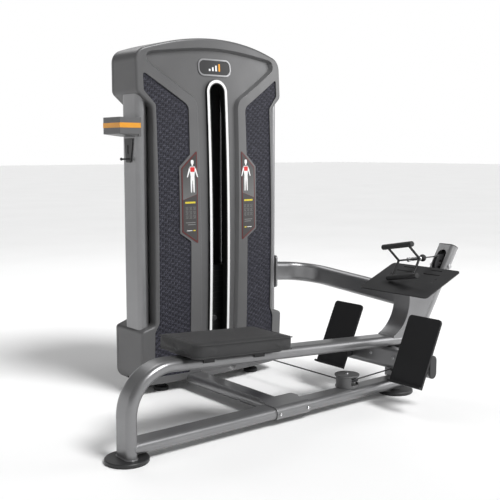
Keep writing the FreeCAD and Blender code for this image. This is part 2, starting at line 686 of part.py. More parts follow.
def pulley(name, rim=PULLEY_RIM):
    """Grooved wheel with a plain bore and five lightening holes."""
    centre, axis, radius = pulley_frame(name)
    half = PULLEY_WIDTH / 2
    bore = AXLE_RADIUS + RUN_CLEARANCE
    groove = radius - CABLE_RADIUS - 0.4
    edge = radius + rim
    profile = [V(bore, 0, -half), V(edge, 0, -half), V(edge, 0, 2 - half), V(groove, 0, -3.6),
               V(groove, 0, 3.6), V(edge, 0, half - 2), V(edge, 0, half), V(bore, 0, half)]
    face = Part.Face(Part.makePolygon(profile + [profile[0]]))
    wheel = face.revolve(ORIGIN, Z_DIR, 360)
    hole_radius = (groove - bore) * 0.27
    hole_distance = (groove + bore) / 2
    for step in range(5):
        angle = math.radians(72 * step + 20)
        at = V(hole_distance * math.cos(angle), hole_distance * math.sin(angle), -half)
        wheel = wheel.cut(Part.makeCylinder(hole_radius, 2 * half, at))
    wheel.Placement = FreeCAD.Placement(centre, FreeCAD.Rotation(Z_DIR, axis))
    return wheel


def build_cable():
    path = Part.Wire(rounded_edges(CABLE_ROUTE[:-1] + [(last_tangent_point(), 0)], False))
    profile = Part.Wire(Part.makeCircle(CABLE_RADIUS, CABLE_ROUTE[0][0], Z_DIR))
    cable = path.makePipeShell([profile], True, False)
    nodes["cable_frame_run"] = cable
    expected = math.pi * CABLE_RADIUS ** 2 * path.Length
    assert abs(cable.Volume / expected - 1) < 0.01
    stack_top = top_of_stack() + 42
    nodes["cable_stack_run"] = rod(V(TOWER_X, STACK_Y, stack_top), CABLE_ROUTE[0][0], CABLE_RADIUS)
    nodes["cable_pull_run"] = rod(V(BALL_X + BALL_SOCKET, 0, PULL_Z), last_tangent_point(), CABLE_RADIUS)
    print("cable lengths, mm:", round(path.Length), round(CABLE_ROUTE[0][0].z - stack_top),
          round(last_tangent_point().x - BALL_X - BALL_SOCKET))


def axle(name, before, after):
    """Fixed axle through a pulley, with a head at each end."""
    centre, axis, _ = pulley_frame(name)
    start = centre - axis * before
    end = centre + axis * after
    shaft = rod(start, end, AXLE_RADIUS)
    return fuse([shaft, rod(start, start - axis * 5, 10), rod(end, end + axis * 5, 10)])


def build_pulleys():
    for name in ("top_inner", "top_outer", "column_top"):
        nodes[name + "_pulley"] = pulley(name, 8.0)
    for name in ("tower_bottom", "rail", "column_base"):
        nodes[name + "_pulley"] = pulley(name)
    beam_face = TOP_BEAM_Y + TOP_BEAM_THICK / 2
    column_half = COLUMN_WIDE / 2 + 0.2
    axles = [axle("top_inner", beam_face, beam_face),
             axle("top_outer", beam_face, beam_face),
             axle("tower_bottom", 17, 17),
             axle("column_base", column_half, column_half),
             axle("column_top", column_half, column_half)]
    centre = pulley_centre("rail")
    rail_top = LOWER_RAIL_Z + TUBE_THIN / 2
    axles.append(rod(V(centre.x, centre.y, rail_top), V(centre.x, centre.y, CAP_Z[1]), AXLE_RADIUS))
    axles.append(bolt_head(V(centre.x, centre.y, CAP_Z[1]), Z_DIR, 9.0, 6.0))
    return axles


def build_rail_bracket():
    """Base, cap disc and curved guard of the pulley that stands on the lower rail."""
    centre = pulley_centre("rail")

    def disc(low, high, radius):
        return rod(V(centre.x, centre.y, low), V(centre.x, centre.y, high), radius)

    low = LOWER_RAIL_Z + TUBE_THIN / 2
    wedge = [(centre.x, centre.y, 0)]
    for angle, reach in ((GUARD_ANGLES[0], 80), (sum(GUARD_ANGLES) / 2, 110), (GUARD_ANGLES[1], 80)):
        turn = math.radians(angle)
        wedge.append((centre.x + reach * math.cos(turn), centre.y + reach * math.sin(turn), 0))
    guard = disc(low, CAP_Z[0], GUARD_RADIUS).cut(disc(low, CAP_Z[0], GUARD_RADIUS - GUARD_WALL))
    guard = guard.common(slab_xy(wedge, low, CAP_Z[0]))
    base = disc(low, low + GUARD_BASE, GUARD_RADIUS - 1)
    lip_high = low + GUARD_BASE + GUARD_LIP
    lip = disc(low, lip_high, GUARD_RADIUS).cut(disc(low, lip_high, GUARD_RADIUS - GUARD_WALL))
    front = Part.makeBox(120, 70, 60, V(centre.x - 60, centre.y - 74, low))
    lip = lip.common(front)
    bracket = fuse([base, disc(CAP_Z[0], CAP_Z[1], GUARD_RADIUS + 1), guard, lip])
    nodes["rail_pulley_bracket"] = bracket.cut(disc(low, CAP_Z[1] + 10, AXLE_RADIUS))


# ---- Weight stack -------------------------------------------------------------------------------
def top_of_stack():
    return STACK_LOW_Z + (RESTING_PLATES + LIFTED_PLATES) * PLATE_PITCH + PLATE_THICK


def weight_plate(index, pin_hole=True):
    low = STACK_LOW_Z + index * PLATE_PITCH
    half_x = PLATE_X / 2
    half_y = PLATE_Y / 2
    corners = rectangle(TOWER_X - half_x, TOWER_X + half_x, STACK_Y - half_y, STACK_Y + half_y, 8)
    plate = slab_xy(corners, low, low + PLATE_THICK)
    for x, radius in ((-ROD_X, ROD_HOLE), (0, SELECTOR_HOLE), (ROD_X, ROD_HOLE)):
        plate = plate.cut(Part.makeCylinder(radius, PLATE_THICK, V(TOWER_X + x, STACK_Y, low)))
    if pin_hole:
        middle = V(TOWER_X, STACK_Y - half_y, low + PLATE_THICK / 2)
        plate = plate.cut(rod(middle, middle + Y_DIR * half_y, PIN_RADIUS + 1.0))
    return plate


def build_stack():
    resting = [weight_plate(index) for index in range(RESTING_PLATES)]
    lifted = [weight_plate(index) for index in range(RESTING_PLATES, RESTING_PLATES + LIFTED_PLATES)]
    nodes["weight_plates_resting"] = Part.makeCompound(resting)
    nodes["weight_plates_lifted"] = Part.makeCompound(lifted)
    nodes["top_plate"] = weight_plate(RESTING_PLATES + LIFTED_PLATES, False)

    stack_top = top_of_stack()
    pin_z = STACK_LOW_Z + RESTING_PLATES * PLATE_PITCH + PLATE_THICK / 2
    rod_low = STACK_LOW_Z + 6
    selector = rod(V(TOWER_X, STACK_Y, rod_low), V(TOWER_X, STACK_Y, stack_top), SELECTOR_RADIUS)
    collar = rod(V(TOWER_X, STACK_Y, stack_top), V(TOWER_X, STACK_Y, stack_top + 12), 22)
    eye = rod(V(TOWER_X, STACK_Y, stack_top + 12), V(TOWER_X, STACK_Y, stack_top + 42), 8)
    selector = fuse([selector, collar, eye])
    for index in range(RESTING_PLATES + LIFTED_PLATES):
        z = STACK_LOW_Z + index * PLATE_PITCH + PLATE_THICK / 2
        bore = rod(V(TOWER_X, STACK_Y - 20, z), V(TOWER_X, STACK_Y + 2, z), PIN_RADIUS + 1.0)
        selector = selector.cut(bore)
    nodes["selector_rod"] = selector

    front = STACK_Y - PLATE_Y / 2
    shank = rod(V(TOWER_X, STACK_Y - 2, pin_z), V(TOWER_X, front - 4, pin_z), PIN_RADIUS)
    collar = rod(V(TOWER_X, front - 4, pin_z), V(TOWER_X, front - 10, pin_z), 9)
    knob = rod(V(TOWER_X, front - 10, pin_z), V(TOWER_X, front - 34, pin_z), 14)
    end = [edge for edge in knob.Edges if edge.CenterOfMass.y < front - 33.9]
    nodes["selector_pin"] = fuse([shank, collar, knob.makeFillet(5.0, end)])

    rod_low = BASE_TUBE_Z[0] + 15
    for name, x in (("guide_rod_left", -ROD_X), ("guide_rod_right", ROD_X)):
        foot = V(TOWER_X + x, STACK_Y, rod_low)
        nodes[name] = Part.makeCylinder(ROD_RADIUS, ROD_SOCKET_Z[1] - rod_low, foot)
    buffer = slab_xy(rectangle(TOWER_X - 145, TOWER_X + 145, STACK_Y - 38, STACK_Y + 38, 8),
                     96, STACK_LOW_Z - 0.5)
    for x in (-ROD_X, ROD_X):
        buffer = buffer.cut(Part.makeCylinder(ROD_RADIUS, 40, V(TOWER_X + x, STACK_Y, 90)))
    nodes["stack_buffer"] = buffer.cut(Part.makeCylinder(16, 40, V(TOWER_X, STACK_Y, 90)))


# ---- Tower frame --------------------------------------------------------------------------------
def build_tower_frame():
    low, high = BASE_TUBE_Z
    half = UPRIGHT_X - UPRIGHT_THIN / 2
    tube = BASE_TUBE_WIDE
    pieces = []
    for y in (BASE_FRONT_Y, BASE_REAR_Y):
        box = Part.makeBox(2 * half, tube, high - low, V(TOWER_X - half, y - tube / 2, low))
        pieces.append(box.cut(Part.makeBox(2 * half, tube - 6, high - low - 6,
                                           V(TOWER_X - half, y - tube / 2 + 3, low + 3))))
    for x in (-half, half):
        side = Part.makeBox(32, BASE_REAR_Y - BASE_FRONT_Y, 28, V(TOWER_X + x - 16, BASE_FRONT_Y, high - 28))
        pieces.append(side)
    pieces.append(Part.makeBox(320, 92, 6, V(TOWER_X - 160, STACK_Y - 46, high)))
    down = pulley_centre("tower_bottom")
    for x in (-17, 13):
        pieces.append(Part.makeBox(4, 30, 92, V(down.x + x, down.y - 15, high - 10)))
    base = fuse(pieces)
    for x in (-ROD_X, ROD_X):
        base = base.cut(Part.makeCylinder(ROD_RADIUS, 60, V(TOWER_X + x, STACK_Y, 50)))
    base = base.cut(Part.makeCylinder(16, 60, V(TOWER_X, STACK_Y, 50)))
    nodes["tower_base_frame"] = base.cut(rod(down - X_DIR * 30, down + X_DIR * 30, AXLE_RADIUS))

    feet = []
    for x in (-TOWER_FOOT_X, TOWER_FOOT_X):
        for y in (BASE_FRONT_Y, BASE_REAR_Y):
            foot = Part.makeCylinder(TOWER_FOOT_RADIUS, 18, V(TOWER_X + x, y, 0))
            rim = [edge for edge in foot.Edges if edge.CenterOfMass.z > 17.9]
            stem = Part.makeCylinder(12, low - 18, V(TOWER_X + x, y, 18))
            feet.append(fuse([foot.makeChamfer(5.0, rim), stem]))
    nodes["tower_feet"] = Part.makeCompound(feet)

    for name, side in (("upright_left", -1), ("upright_right", 1)):
        x = TOWER_X + side * UPRIGHT_X
        nodes[name] = oval_tube(V(x, STACK_Y, UPRIGHT_Z[0]), V(x, STACK_Y, UPRIGHT_Z[1]), Y_DIR,
                                UPRIGHT_WIDE, UPRIGHT_THIN, TUBE_WALL)

    low, high = TOP_BEAM_Z
    socket_low, socket_high = ROD_SOCKET_Z
    gap = 2 * TOP_BEAM_Y - TOP_BEAM_THICK
    rod_places = (TOWER_X - ROD_X, TOWER_X + ROD_X)
    bars = []
    for side in (-1, 1):
        y = STACK_Y + side * TOP_BEAM_Y - TOP_BEAM_THICK / 2
        bars.append(Part.makeBox(2 * half, TOP_BEAM_THICK, high - low, V(TOWER_X - half, y, low)))
        for x in rod_places:
            corner = V(x - ROD_SOCKET_WIDE / 2, y, socket_low)
            bars.append(Part.makeBox(ROD_SOCKET_WIDE, TOP_BEAM_THICK, low - socket_low, corner))
    for x in (-300, 280):
        bars.append(Part.makeBox(20, gap, high - low, V(TOWER_X + x, STACK_Y - gap / 2, low)))
    for x in rod_places:
        corner = V(x - ROD_SOCKET_WIDE / 2, STACK_Y - gap / 2, socket_low)
        bars.append(Part.makeBox(ROD_SOCKET_WIDE, gap, socket_high - socket_low, corner))
    beam = fuse(bars)
    for x in rod_places:
        beam = beam.cut(Part.makeCylinder(ROD_RADIUS, socket_high - socket_low, V(x, STACK_Y, socket_low)))
    for name in ("top_inner", "top_outer"):
        centre = pulley_centre(name)
        beam = beam.cut(rod(centre - Y_DIR * 40, centre + Y_DIR * 40, AXLE_RADIUS))
    nodes["top_beam"] = beam


# ---- Tower shell --------------------------------------------------------------------------------
def inset(corners, distance):
    """Move every side of a closed outline inwards; a negative distance makes it larger."""
    count = len(corners)
    doubled_area = sum(corners[i - 1][0] * corners[i][1] - corners[i][0] * corners[i - 1][1]
                       for i in range(count))
    turn = 1 if doubled_area > 0 else -1
    moved = []
    for index, (a, b, radius) in enumerate(corners):
        behind = corners[index - 1]
        ahead = corners[(index + 1) % count]
        arriving = V(a - behind[0], b - behind[1], 0).normalize()
        leaving = V(ahead[0] - a, ahead[1] - b, 0).normalize()
        first = V(-arriving.y, arriving.x, 0) * turn
        second = V(-leaving.y, leaving.x, 0) * turn
        shift = (first + second) * (distance / (1 + first.dot(second)))
        convex = (arriving.x * leaving.y - arriving.y * leaving.x) * turn > 0
        new_radius = max(radius + (-distance if convex else distance), 1.0) if radius else 0
        moved.append((a + shift.x, b + shift.y, new_radius))
    return moved


def both_sides(half, peak):
    mirror = [(-x, z, radius) for x, z, radius in reversed(half)]
    return [peak] + half + mirror


def at_tower(corners, side=1):
    return [(TOWER_X + side * x, z, radius) for x, z, radius in corners]


def slot_outline(half, low):
    side = [(half, SLOT_TOP_Z + half, half - 0.5), (half, low, 2)]
    return at_tower(side + [(-x, z, radius) for x, z, radius in reversed(side)])


def crown_y(x, z):
    """Y of the crowned front face, `x` from the tower's middle."""
    return FRONT_Y + x * x / (2 * CROWN_ACROSS) + (z - CROWN_Z) ** 2 / (2 * CROWN_UP)


def recess_block(wall):
    """Block of the front recess, with sides that slope in behind the crown.  The caller cuts its floor."""
    outline = both_sides(RECESS_HALF, RECESS_PEAK)
    slope = RECESS_BEVEL / RECESS_DEPTH
    wires = []
    for y in (FRONT_Y - 30, FRONT_Y + 110):
        sloped = []
        for index, (x, z, _) in enumerate(outline):
            sloped.append(inset(outline, (y - crown_y(x, z)) * slope - wall)[index])
        wires.append(outline_xz(at_tower(sloped), y))
    return Part.makeLoft(wires, True, True)


def behind_crown(depth):
    """Everything behind the tower's crowned front face, from `depth` inwards."""
    axis = V(TOWER_X, FRONT_Y + CROWN_ACROSS, 0)
    reach = CROWN_ACROSS - depth

    def surface(z):
        return axis + V(0, (z - CROWN_Z) ** 2 / (2 * CROWN_UP) - reach, z)

    low = surface(0)
    high = surface(1700)
    edges = [Part.Arc(low, surface(CROWN_Z), high).toShape(),
             Part.LineSegment(high, axis + V(0, 0, 1700)).toShape(),
             Part.LineSegment(axis + V(0, 0, 1700), axis).toShape(),
             Part.LineSegment(axis, low).toShape()]
    face = Part.Face(Part.Wire(edges))
    face.rotate(axis, Z_DIR, -12)
    return face.revolve(axis, Z_DIR, 24)


def crowned(corners, front_depth, back_depth):
    """A skin that follows the crown, between two depths behind the front face."""
    block = slab_xz(corners, FRONT_Y - 20, FRONT_Y + 140)
    return block.common(behind_crown(front_depth)).cut(behind_crown(back_depth))


def front_block(outline, wall):
    """The cover's outside (wall 0) or its hollow (wall > 0) as one solid."""
    block = slab_xz(at_tower(inset(outline, wall) if wall else outline), FRONT_Y - 20, BULGE_BACK_Y + wall)
    return block.common(behind_crown(wall))


def edges_near_crown(shape, reach):
    """Edges of the front face's own boundary."""
    found = []
    for edge in shape.Edges:
        middle = edge.valueAt((edge.FirstParameter + edge.LastParameter) / 2)
        if abs(middle.y - crown_y(middle.x - TOWER_X, middle.z)) < reach:
            found.append(edge)
    return found


def build_front_shroud():
    outline = both_sides(TOWER_HALF, TOWER_PEAK)
    outer = front_block(outline, 0)
    outer = outer.makeFillet(11.0, edges_near_crown(outer, 3.0))
    outer = outer.cut(recess_block(0).cut(behind_crown(RECESS_DEPTH)))
    hollow = front_block(outline, SHROUD_WALL)
    hollow = hollow.cut(recess_block(SHROUD_WALL).cut(behind_crown(RECESS_DEPTH + SHROUD_WALL)))
    waist = Part.makeBox(1000, 300, WAIST_Z[1] - WAIST_Z[0], V(TOWER_X - 500, WAIST_BACK_Y, WAIST_Z[0]))
    under = Part.makeBox(700, 190, 12, V(TOWER_X - 350, 652, 42))
    shell = outer.cut(hollow).cut(waist).cut(under)
    for side in (-1, 1):
        shell = shell.cut(slab_xz(at_tower(MESH, side), FRONT_Y - 40, FRONT_Y + 75))
        x = TOWER_X + side * UPRIGHT_X
        shell = shell.cut(oval_bar(V(x, STACK_Y, 50), V(x, STACK_Y, UPRIGHT_Z[1] + 1), Y_DIR,
                                   UPRIGHT_WIDE + 1, UPRIGHT_THIN + 1))
    shell = shell.cut(slab_xz(slot_outline(SLOT_TRIM + 0.2, SLOT_LOW_Z), FRONT_Y - 40, FRONT_Y + 120))
    cross_room = oval_bar(V(CROSS_TUBE_X, 560, LOWER_RAIL_Z), V(CROSS_TUBE_X, 674, LOWER_RAIL_Z), X_DIR,
                          TUBE_WIDE + 1, TUBE_THIN + 1)
    shell = shell.cut(cross_room)
    nodes["front_shroud"] = max(shell.Solids, key=lambda solid: solid.Volume)


def build_shell_details():
    for name, side in (("left", -1), ("right", 1)):
        panel = crowned(at_tower(inset(MESH, -5.0), side), SHROUD_WALL, SHROUD_WALL + 3)
        if side == 1:
            cable = V(CABLE_DOWN_X, 0, CABLE_LOW_Z)
            panel = panel.cut(rod(cable + Y_DIR * 500, cable + Y_DIR * 700, 9))
        nodes["mesh_panel_" + name] = panel
        nodes["placard_" + name] = crowned(at_tower(PLACARD, side), -2.0, 0)
    trim = crowned(slot_outline(SLOT_TRIM, SLOT_LOW_Z), 4, 34)
    opening = slab_xz(slot_outline(SLOT_OPEN, SLOT_LOW_Z - 10), FRONT_Y - 40, FRONT_Y + 120)
    nodes["slot_trim"] = trim.cut(opening)
    low, high = BADGE_Z
    rim = at_tower(rectangle(-BADGE_HALF, BADGE_HALF, low, high, 30))
    badge = crowned(rim, RECESS_DEPTH - 4, RECESS_DEPTH)
    face = at_tower(rectangle(6 - BADGE_HALF, BADGE_HALF - 6, low + 6, high - 6, 25))
    nodes["badge"] = badge.cut(crowned(face, 0, RECESS_DEPTH - 2.5))


def build_rear_shroud():
    outline = both_sides(TOWER_HALF, TOWER_PEAK)
    plate = slab_xz(at_tower(outline), BULGE_BACK_Y + 2, TOWER_BACK_Y)
    back_edges = [edge for edge in plate.Edges if edge.BoundBox.YMin > TOWER_BACK_Y - 0.01]
    plate = plate.makeFillet(7.0, back_edges)
    hollow = slab_xz(at_tower(inset(outline, 8)), BULGE_BACK_Y, TOWER_BACK_Y - SHROUD_WALL)
    half = 328.0
    low = 100.0
    high = 1400.0
    front = WAIST_BACK_Y + 2
    deep = TOWER_BACK_Y - SHROUD_WALL - front
    box = Part.makeBox(2 * half, deep, high - low, V(TOWER_X - half, front, low))
    room = Part.makeBox(2 * half - 8, deep, high - low, V(TOWER_X - half + 4, front, low))
    nodes["rear_shroud"] = fuse([plate.cut(hollow), box.cut(room)])


# ---- Cup holder and towel hook ------------------------------------------------------------------
def build_cup_holder():
    low_x, high_x = CUP_X
    low_y, high_y = CUP_Y
    low_z, high_z = CUP_Z
    side = [(low_x, low_z + 10, 2), (high_x, low_z, 2), (high_x, high_z, 0), (low_x, high_z, 0)]
    box = slab_xz(side, low_y, high_y)
    wall = CUP_WALL
    room = [(low_x + wall, low_z + 10 + wall, 2), (high_x - wall, low_z + wall, 2),
            (high_x - wall, high_z + 10, 0), (low_x + wall, high_z + 10, 0)]
    box = box.cut(slab_xz(room, low_y + wall, high_y - wall))
    flange = Part.makeBox(12, 4, high_z - low_z, V(high_x, low_y - 4, low_z))
    front = Part.makeBox(high_x - low_x, 4, high_z - low_z - 10, V(low_x, low_y - 4, low_z + 10))
    rear = Part.makeBox(HOOK_FACE_X - high_x, high_y - low_y - 20, high_z - low_z, V(high_x, low_y, low_z))
    nodes["cup_holder"] = fuse([box, flange, front, rear])
    band_low, band_high = BAND_Z
    proud = 1.0
    band = Part.makeBox(high_x + 10 - low_x + proud, high_y - low_y + 4 + 2 * proud, band_high - band_low,
                        V(low_x - proud, low_y - 4 - proud, band_low))
    solid = Part.makeBox(high_x + 12 - low_x, high_y - low_y + 4, band_high - band_low,
                         V(low_x, low_y - 4, band_low))
    behind = Part.makeBox(60, 200, 60, V(high_x, low_y - 4, band_low - 10))
    nodes["cup_holder_band"] = band.cut(solid).cut(behind)

    low, high = HOOK_Z
    outline = [(692, high, 3), (762, high, 3), (752, low, 8), (712, low, 8)]
    plate = slab_yz(outline, HOOK_FACE_X - 5, HOOK_FACE_X)
    plate = plate.cut(slab_yz(rectangle(728, 736, 1072, 1112, 3), HOOK_FACE_X - 10, HOOK_FACE_X + 10))
    peg = rod(V(HOOK_FACE_X - 5, 727, 1050), V(HOOK_FACE_X - 40, 727, 1050), 4)
    knob = Part.makeSphere(6.5, V(HOOK_FACE_X - 42, 727, 1050))
    nodes["towel_hook"] = fuse([plate, peg, knob])


# ---- Handle -------------------------------------------------------------------------------------
def handle_rotation():
    roll = FreeCAD.Rotation(X_DIR, HANDLE_ROLL)
    pitch = FreeCAD.Rotation(Y_DIR, HANDLE_PITCH)
    yaw = FreeCAD.Rotation(Z_DIR, HANDLE_YAW)
    return yaw.multiply(roll).multiply(pitch)


def in_handle(shape):
    """Place a shape from the handle's own frame, whose origin is the middle of the crossbar."""
    shape.Placement = FreeCAD.Placement(V(HANDLE_X, 0, PULL_Z), handle_rotation()).multiply(shape.Placement)
    return shape


def grip_core_end(side, up):
    return V(GRIP_OFFSET.x, side * FRAME_ROD_Y, up * GRIP_OFFSET.z)


def build_handle():
    pieces = [rod(V(0, -FRAME_ROD_Y, 0), V(0, FRAME_ROD_Y, 0), CROSSBAR_RADIUS)]
    for side in (-1, 1):
        apex = V(0, side * FRAME_ROD_Y, 0)
        pieces.append(Part.makeSphere(FRAME_ROD_RADIUS + 0.4, apex))
        for up in (-1, 1):
            pieces.append(rod(apex, grip_core_end(side, up), FRAME_ROD_RADIUS))
    half = GRIP_LENGTH / 2
    for up in (-1, 1):
        middle = V(GRIP_OFFSET.x, 0, up * GRIP_OFFSET.z)
        pieces.append(rod(middle - Y_DIR * (half - 4), middle + Y_DIR * (half - 4), GRIP_CORE_RADIUS))
    frame = fuse(pieces)
    nodes["handle_frame"] = in_handle(frame)
    grips = []
    for up in (-1, 1):
        middle = V(GRIP_OFFSET.x, 0, up * GRIP_OFFSET.z)
        grip = rod(middle - Y_DIR * half, middle + Y_DIR * half, GRIP_RADIUS)
        ends = [edge for edge in grip.Edges if abs(abs(edge.CenterOfMass.y) - half) < 0.01]
        grip = grip.makeFillet(3.0, ends)
        core = rod(middle - Y_DIR * (half - 4), middle + Y_DIR * (half - 4), GRIP_CORE_RADIUS)
        grip = grip.cut(core)
        for side in (-1, 1):
            grip = grip.cut(rod(V(0, side * FRAME_ROD_Y, 0), grip_core_end(side, up), FRAME_ROD_RADIUS))
        grips.append(grip)
    nodes["handle_grips"] = in_handle(Part.makeCompound(grips))

    eye_axis = handle_rotation().multVec(Y_DIR)
    eye_centre = V(HANDLE_X, 0, PULL_Z)
    eye = rod(eye_centre - eye_axis * 7, eye_centre + eye_axis * 7, 10)
    body = rod(V(HANDLE_X + 6, 0, PULL_Z), V(BALL_X - 28, 0, PULL_Z), 8)
    collar = rod(V(BALL_X - 34, 0, PULL_Z), V(BALL_X - BALL_RADIUS - 1, 0, PULL_Z), 10)
    stem = rod(V(BALL_X - BALL_RADIUS - 1, 0, PULL_Z), V(BALL_X - 2, 0, PULL_Z), 4)
    bore = rod(eye_centre - eye_axis * 9, eye_centre + eye_axis * 9, CROSSBAR_RADIUS + RUN_CLEARANCE)
    nodes["swivel_link"] = fuse([eye, body, collar, stem]).cut(bore)

    ball = Part.makeSphere(BALL_RADIUS, V(BALL_X, 0, PULL_Z))
    flat = Part.makeBox(20, 60, 60, V(BALL_X - BALL_RADIUS - 18.5, -30, PULL_Z - 30))
    ball = ball.cut(flat)
    ball = ball.cut(rod(V(BALL_X - 20, 0, PULL_Z), V(BALL_X - 1, 0, PULL_Z), 4 + RUN_CLEARANCE))
    socket = rod(V(BALL_X + BALL_SOCKET, 0, PULL_Z), V(BALL_X + 20, 0, PULL_Z), CABLE_RADIUS)
    nodes["ball_stop"] = ball.cut(socket)
    clearance = nodes["handle_grips"].distToShape(nodes["handle_shelf"])[0]
    print("handle clearance over the shelf, mm:", round(clearance, 2))
    print("handle axis:", [round(value, 4) for value in eye_axis])
    for name in PULLEY_CORNERS:
        centre, axis, _ = pulley_frame(name)
        print(name, [round(value, 2) for value in centre], [round(value, 3) for value in axis])


# ---- Build and export ---------------------------------------------------------------------------
def main():
    build_rails()
    fasteners = build_saddle()
    covers = build_column()
    build_gusset()
    fasteners += build_arm()
    tube_caps, tube_bolts = build_footplates()
    nodes["end_caps"] = Part.makeCompound(covers + tube_caps)
    build_shelf()
    build_seat()
    build_tower_frame()
    build_front_shroud()
    build_shell_details()
    build_rear_shroud()
    build_cup_holder()
    build_stack()
    build_cable()
    nodes["axles_and_bolts"] = Part.makeCompound(fasteners + tube_bolts + build_pulleys())
    build_rail_bracket()
    build_handle()

    whole = Part.makeCompound(list(nodes.values())).BoundBox
    export_shift = V(-whole.Center.x, -whole.Center.y, -whole.ZMin)
    print("export shift, mm:", [round(value, 3) for value in export_shift])
    os.makedirs("parts", exist_ok=True)
    for name, shape in nodes.items():
        shape.translate(export_shift)
        shape.exportStep("parts/" + name + ".step")
        box = shape.BoundBox
        state = "ok" if shape.isValid() and shape.Volume > 0 else "BAD"
        print(name, state, len(shape.Solids), round(shape.Volume),
              [round(v, 1) for v in (box.XMin, box.XMax, box.YMin, box.YMax, box.ZMin, box.ZMax)])
    print(len(nodes), "nodes")


main()
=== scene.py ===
import math
import random
import bmesh
import bpy
from mathutils import Matrix, Vector


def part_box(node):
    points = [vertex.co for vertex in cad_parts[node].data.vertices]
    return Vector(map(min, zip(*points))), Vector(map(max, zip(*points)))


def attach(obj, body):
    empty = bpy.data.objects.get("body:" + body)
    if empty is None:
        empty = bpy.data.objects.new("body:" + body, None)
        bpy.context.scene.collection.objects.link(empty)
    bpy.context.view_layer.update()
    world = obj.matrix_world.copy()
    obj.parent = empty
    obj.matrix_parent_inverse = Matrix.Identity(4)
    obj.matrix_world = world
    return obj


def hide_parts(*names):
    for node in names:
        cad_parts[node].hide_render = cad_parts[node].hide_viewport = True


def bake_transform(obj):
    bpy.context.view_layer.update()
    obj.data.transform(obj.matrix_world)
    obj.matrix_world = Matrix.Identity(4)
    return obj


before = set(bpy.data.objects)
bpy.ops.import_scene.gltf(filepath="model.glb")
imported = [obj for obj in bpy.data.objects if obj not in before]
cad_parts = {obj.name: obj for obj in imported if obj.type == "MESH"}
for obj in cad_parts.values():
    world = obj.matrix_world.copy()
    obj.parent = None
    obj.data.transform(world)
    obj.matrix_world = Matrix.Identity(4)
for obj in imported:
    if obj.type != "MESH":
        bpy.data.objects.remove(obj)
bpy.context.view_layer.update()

# ---- Frame ----------------------------------------------------------------------------------------
# Working coordinates, in millimetres: X along the rail from the leg, Y towards the tower, Z up, with
# the origin under the leg.  The leg's floor disc gives the shift to the row frame.
disc_low, disc_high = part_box("floor_disc_leg")
SHIFT = Vector(((disc_low[0] + disc_high[0]) / 2, (disc_low[1] + disc_high[1]) / 2, 0))
TOWER_X = 859.0
STACK_Y = 726.0
FRONT_Y = 590.0             # the crowned front cover, at the tower's middle
CROWN_Z = 700.0
CROWN_ACROSS = 2370.0
CROWN_UP = 11300.0
BACK_Y = 860.0
SLOT_TOP_Z = 1.348          # metres: middle of the slot's round top
SLOT_LIP = 0.0435           # metres: where the white lip starts, from the slot's middle
TOP_AXLE_Z = 1.455          # metres: where the stack's cable meets the first top pulley
ROPE_RADIUS = 0.003
ROPE_STEPS = 60
SEAT_SLOPE = 3.57           # degrees
SEAT_HALF = (0.2262, 0.1218, 0.0275)
SEAT_VOXEL = 0.004
SEAT_MOVE = 0.0028          # how far the cloth may leave the cushion's own shape
SEAT_CROWN = 0.0025
SEAM_PROUD = (1.006, 1.011)
CLOTH_STEPS = 20
DECAL_CUTS = ((0, 12), (2, 15))     # axis and spacing of the cuts that let a print follow the crown
DECAL_THICK = 0.35
SHEET_LIFT = 2.1
PRINT_LIFT = 2.5
OVERPRINT_LIFT = 2.9
BADGE_RECESS = 15.5
FIGURE_X = 152.0            # middle of the standing figure
DIAGRAM_LINE = 1.2
FLOOR_HALF = 60.0


def at(x, y, z):
    """Working millimetres to row-frame metres."""
    return Vector((x / 1000, y / 1000, z / 1000)) + SHIFT


def crown_y(dx, z):
    return FRONT_Y + dx * dx / (2 * CROWN_ACROSS) + (z - CROWN_Z) ** 2 / (2 * CROWN_UP)


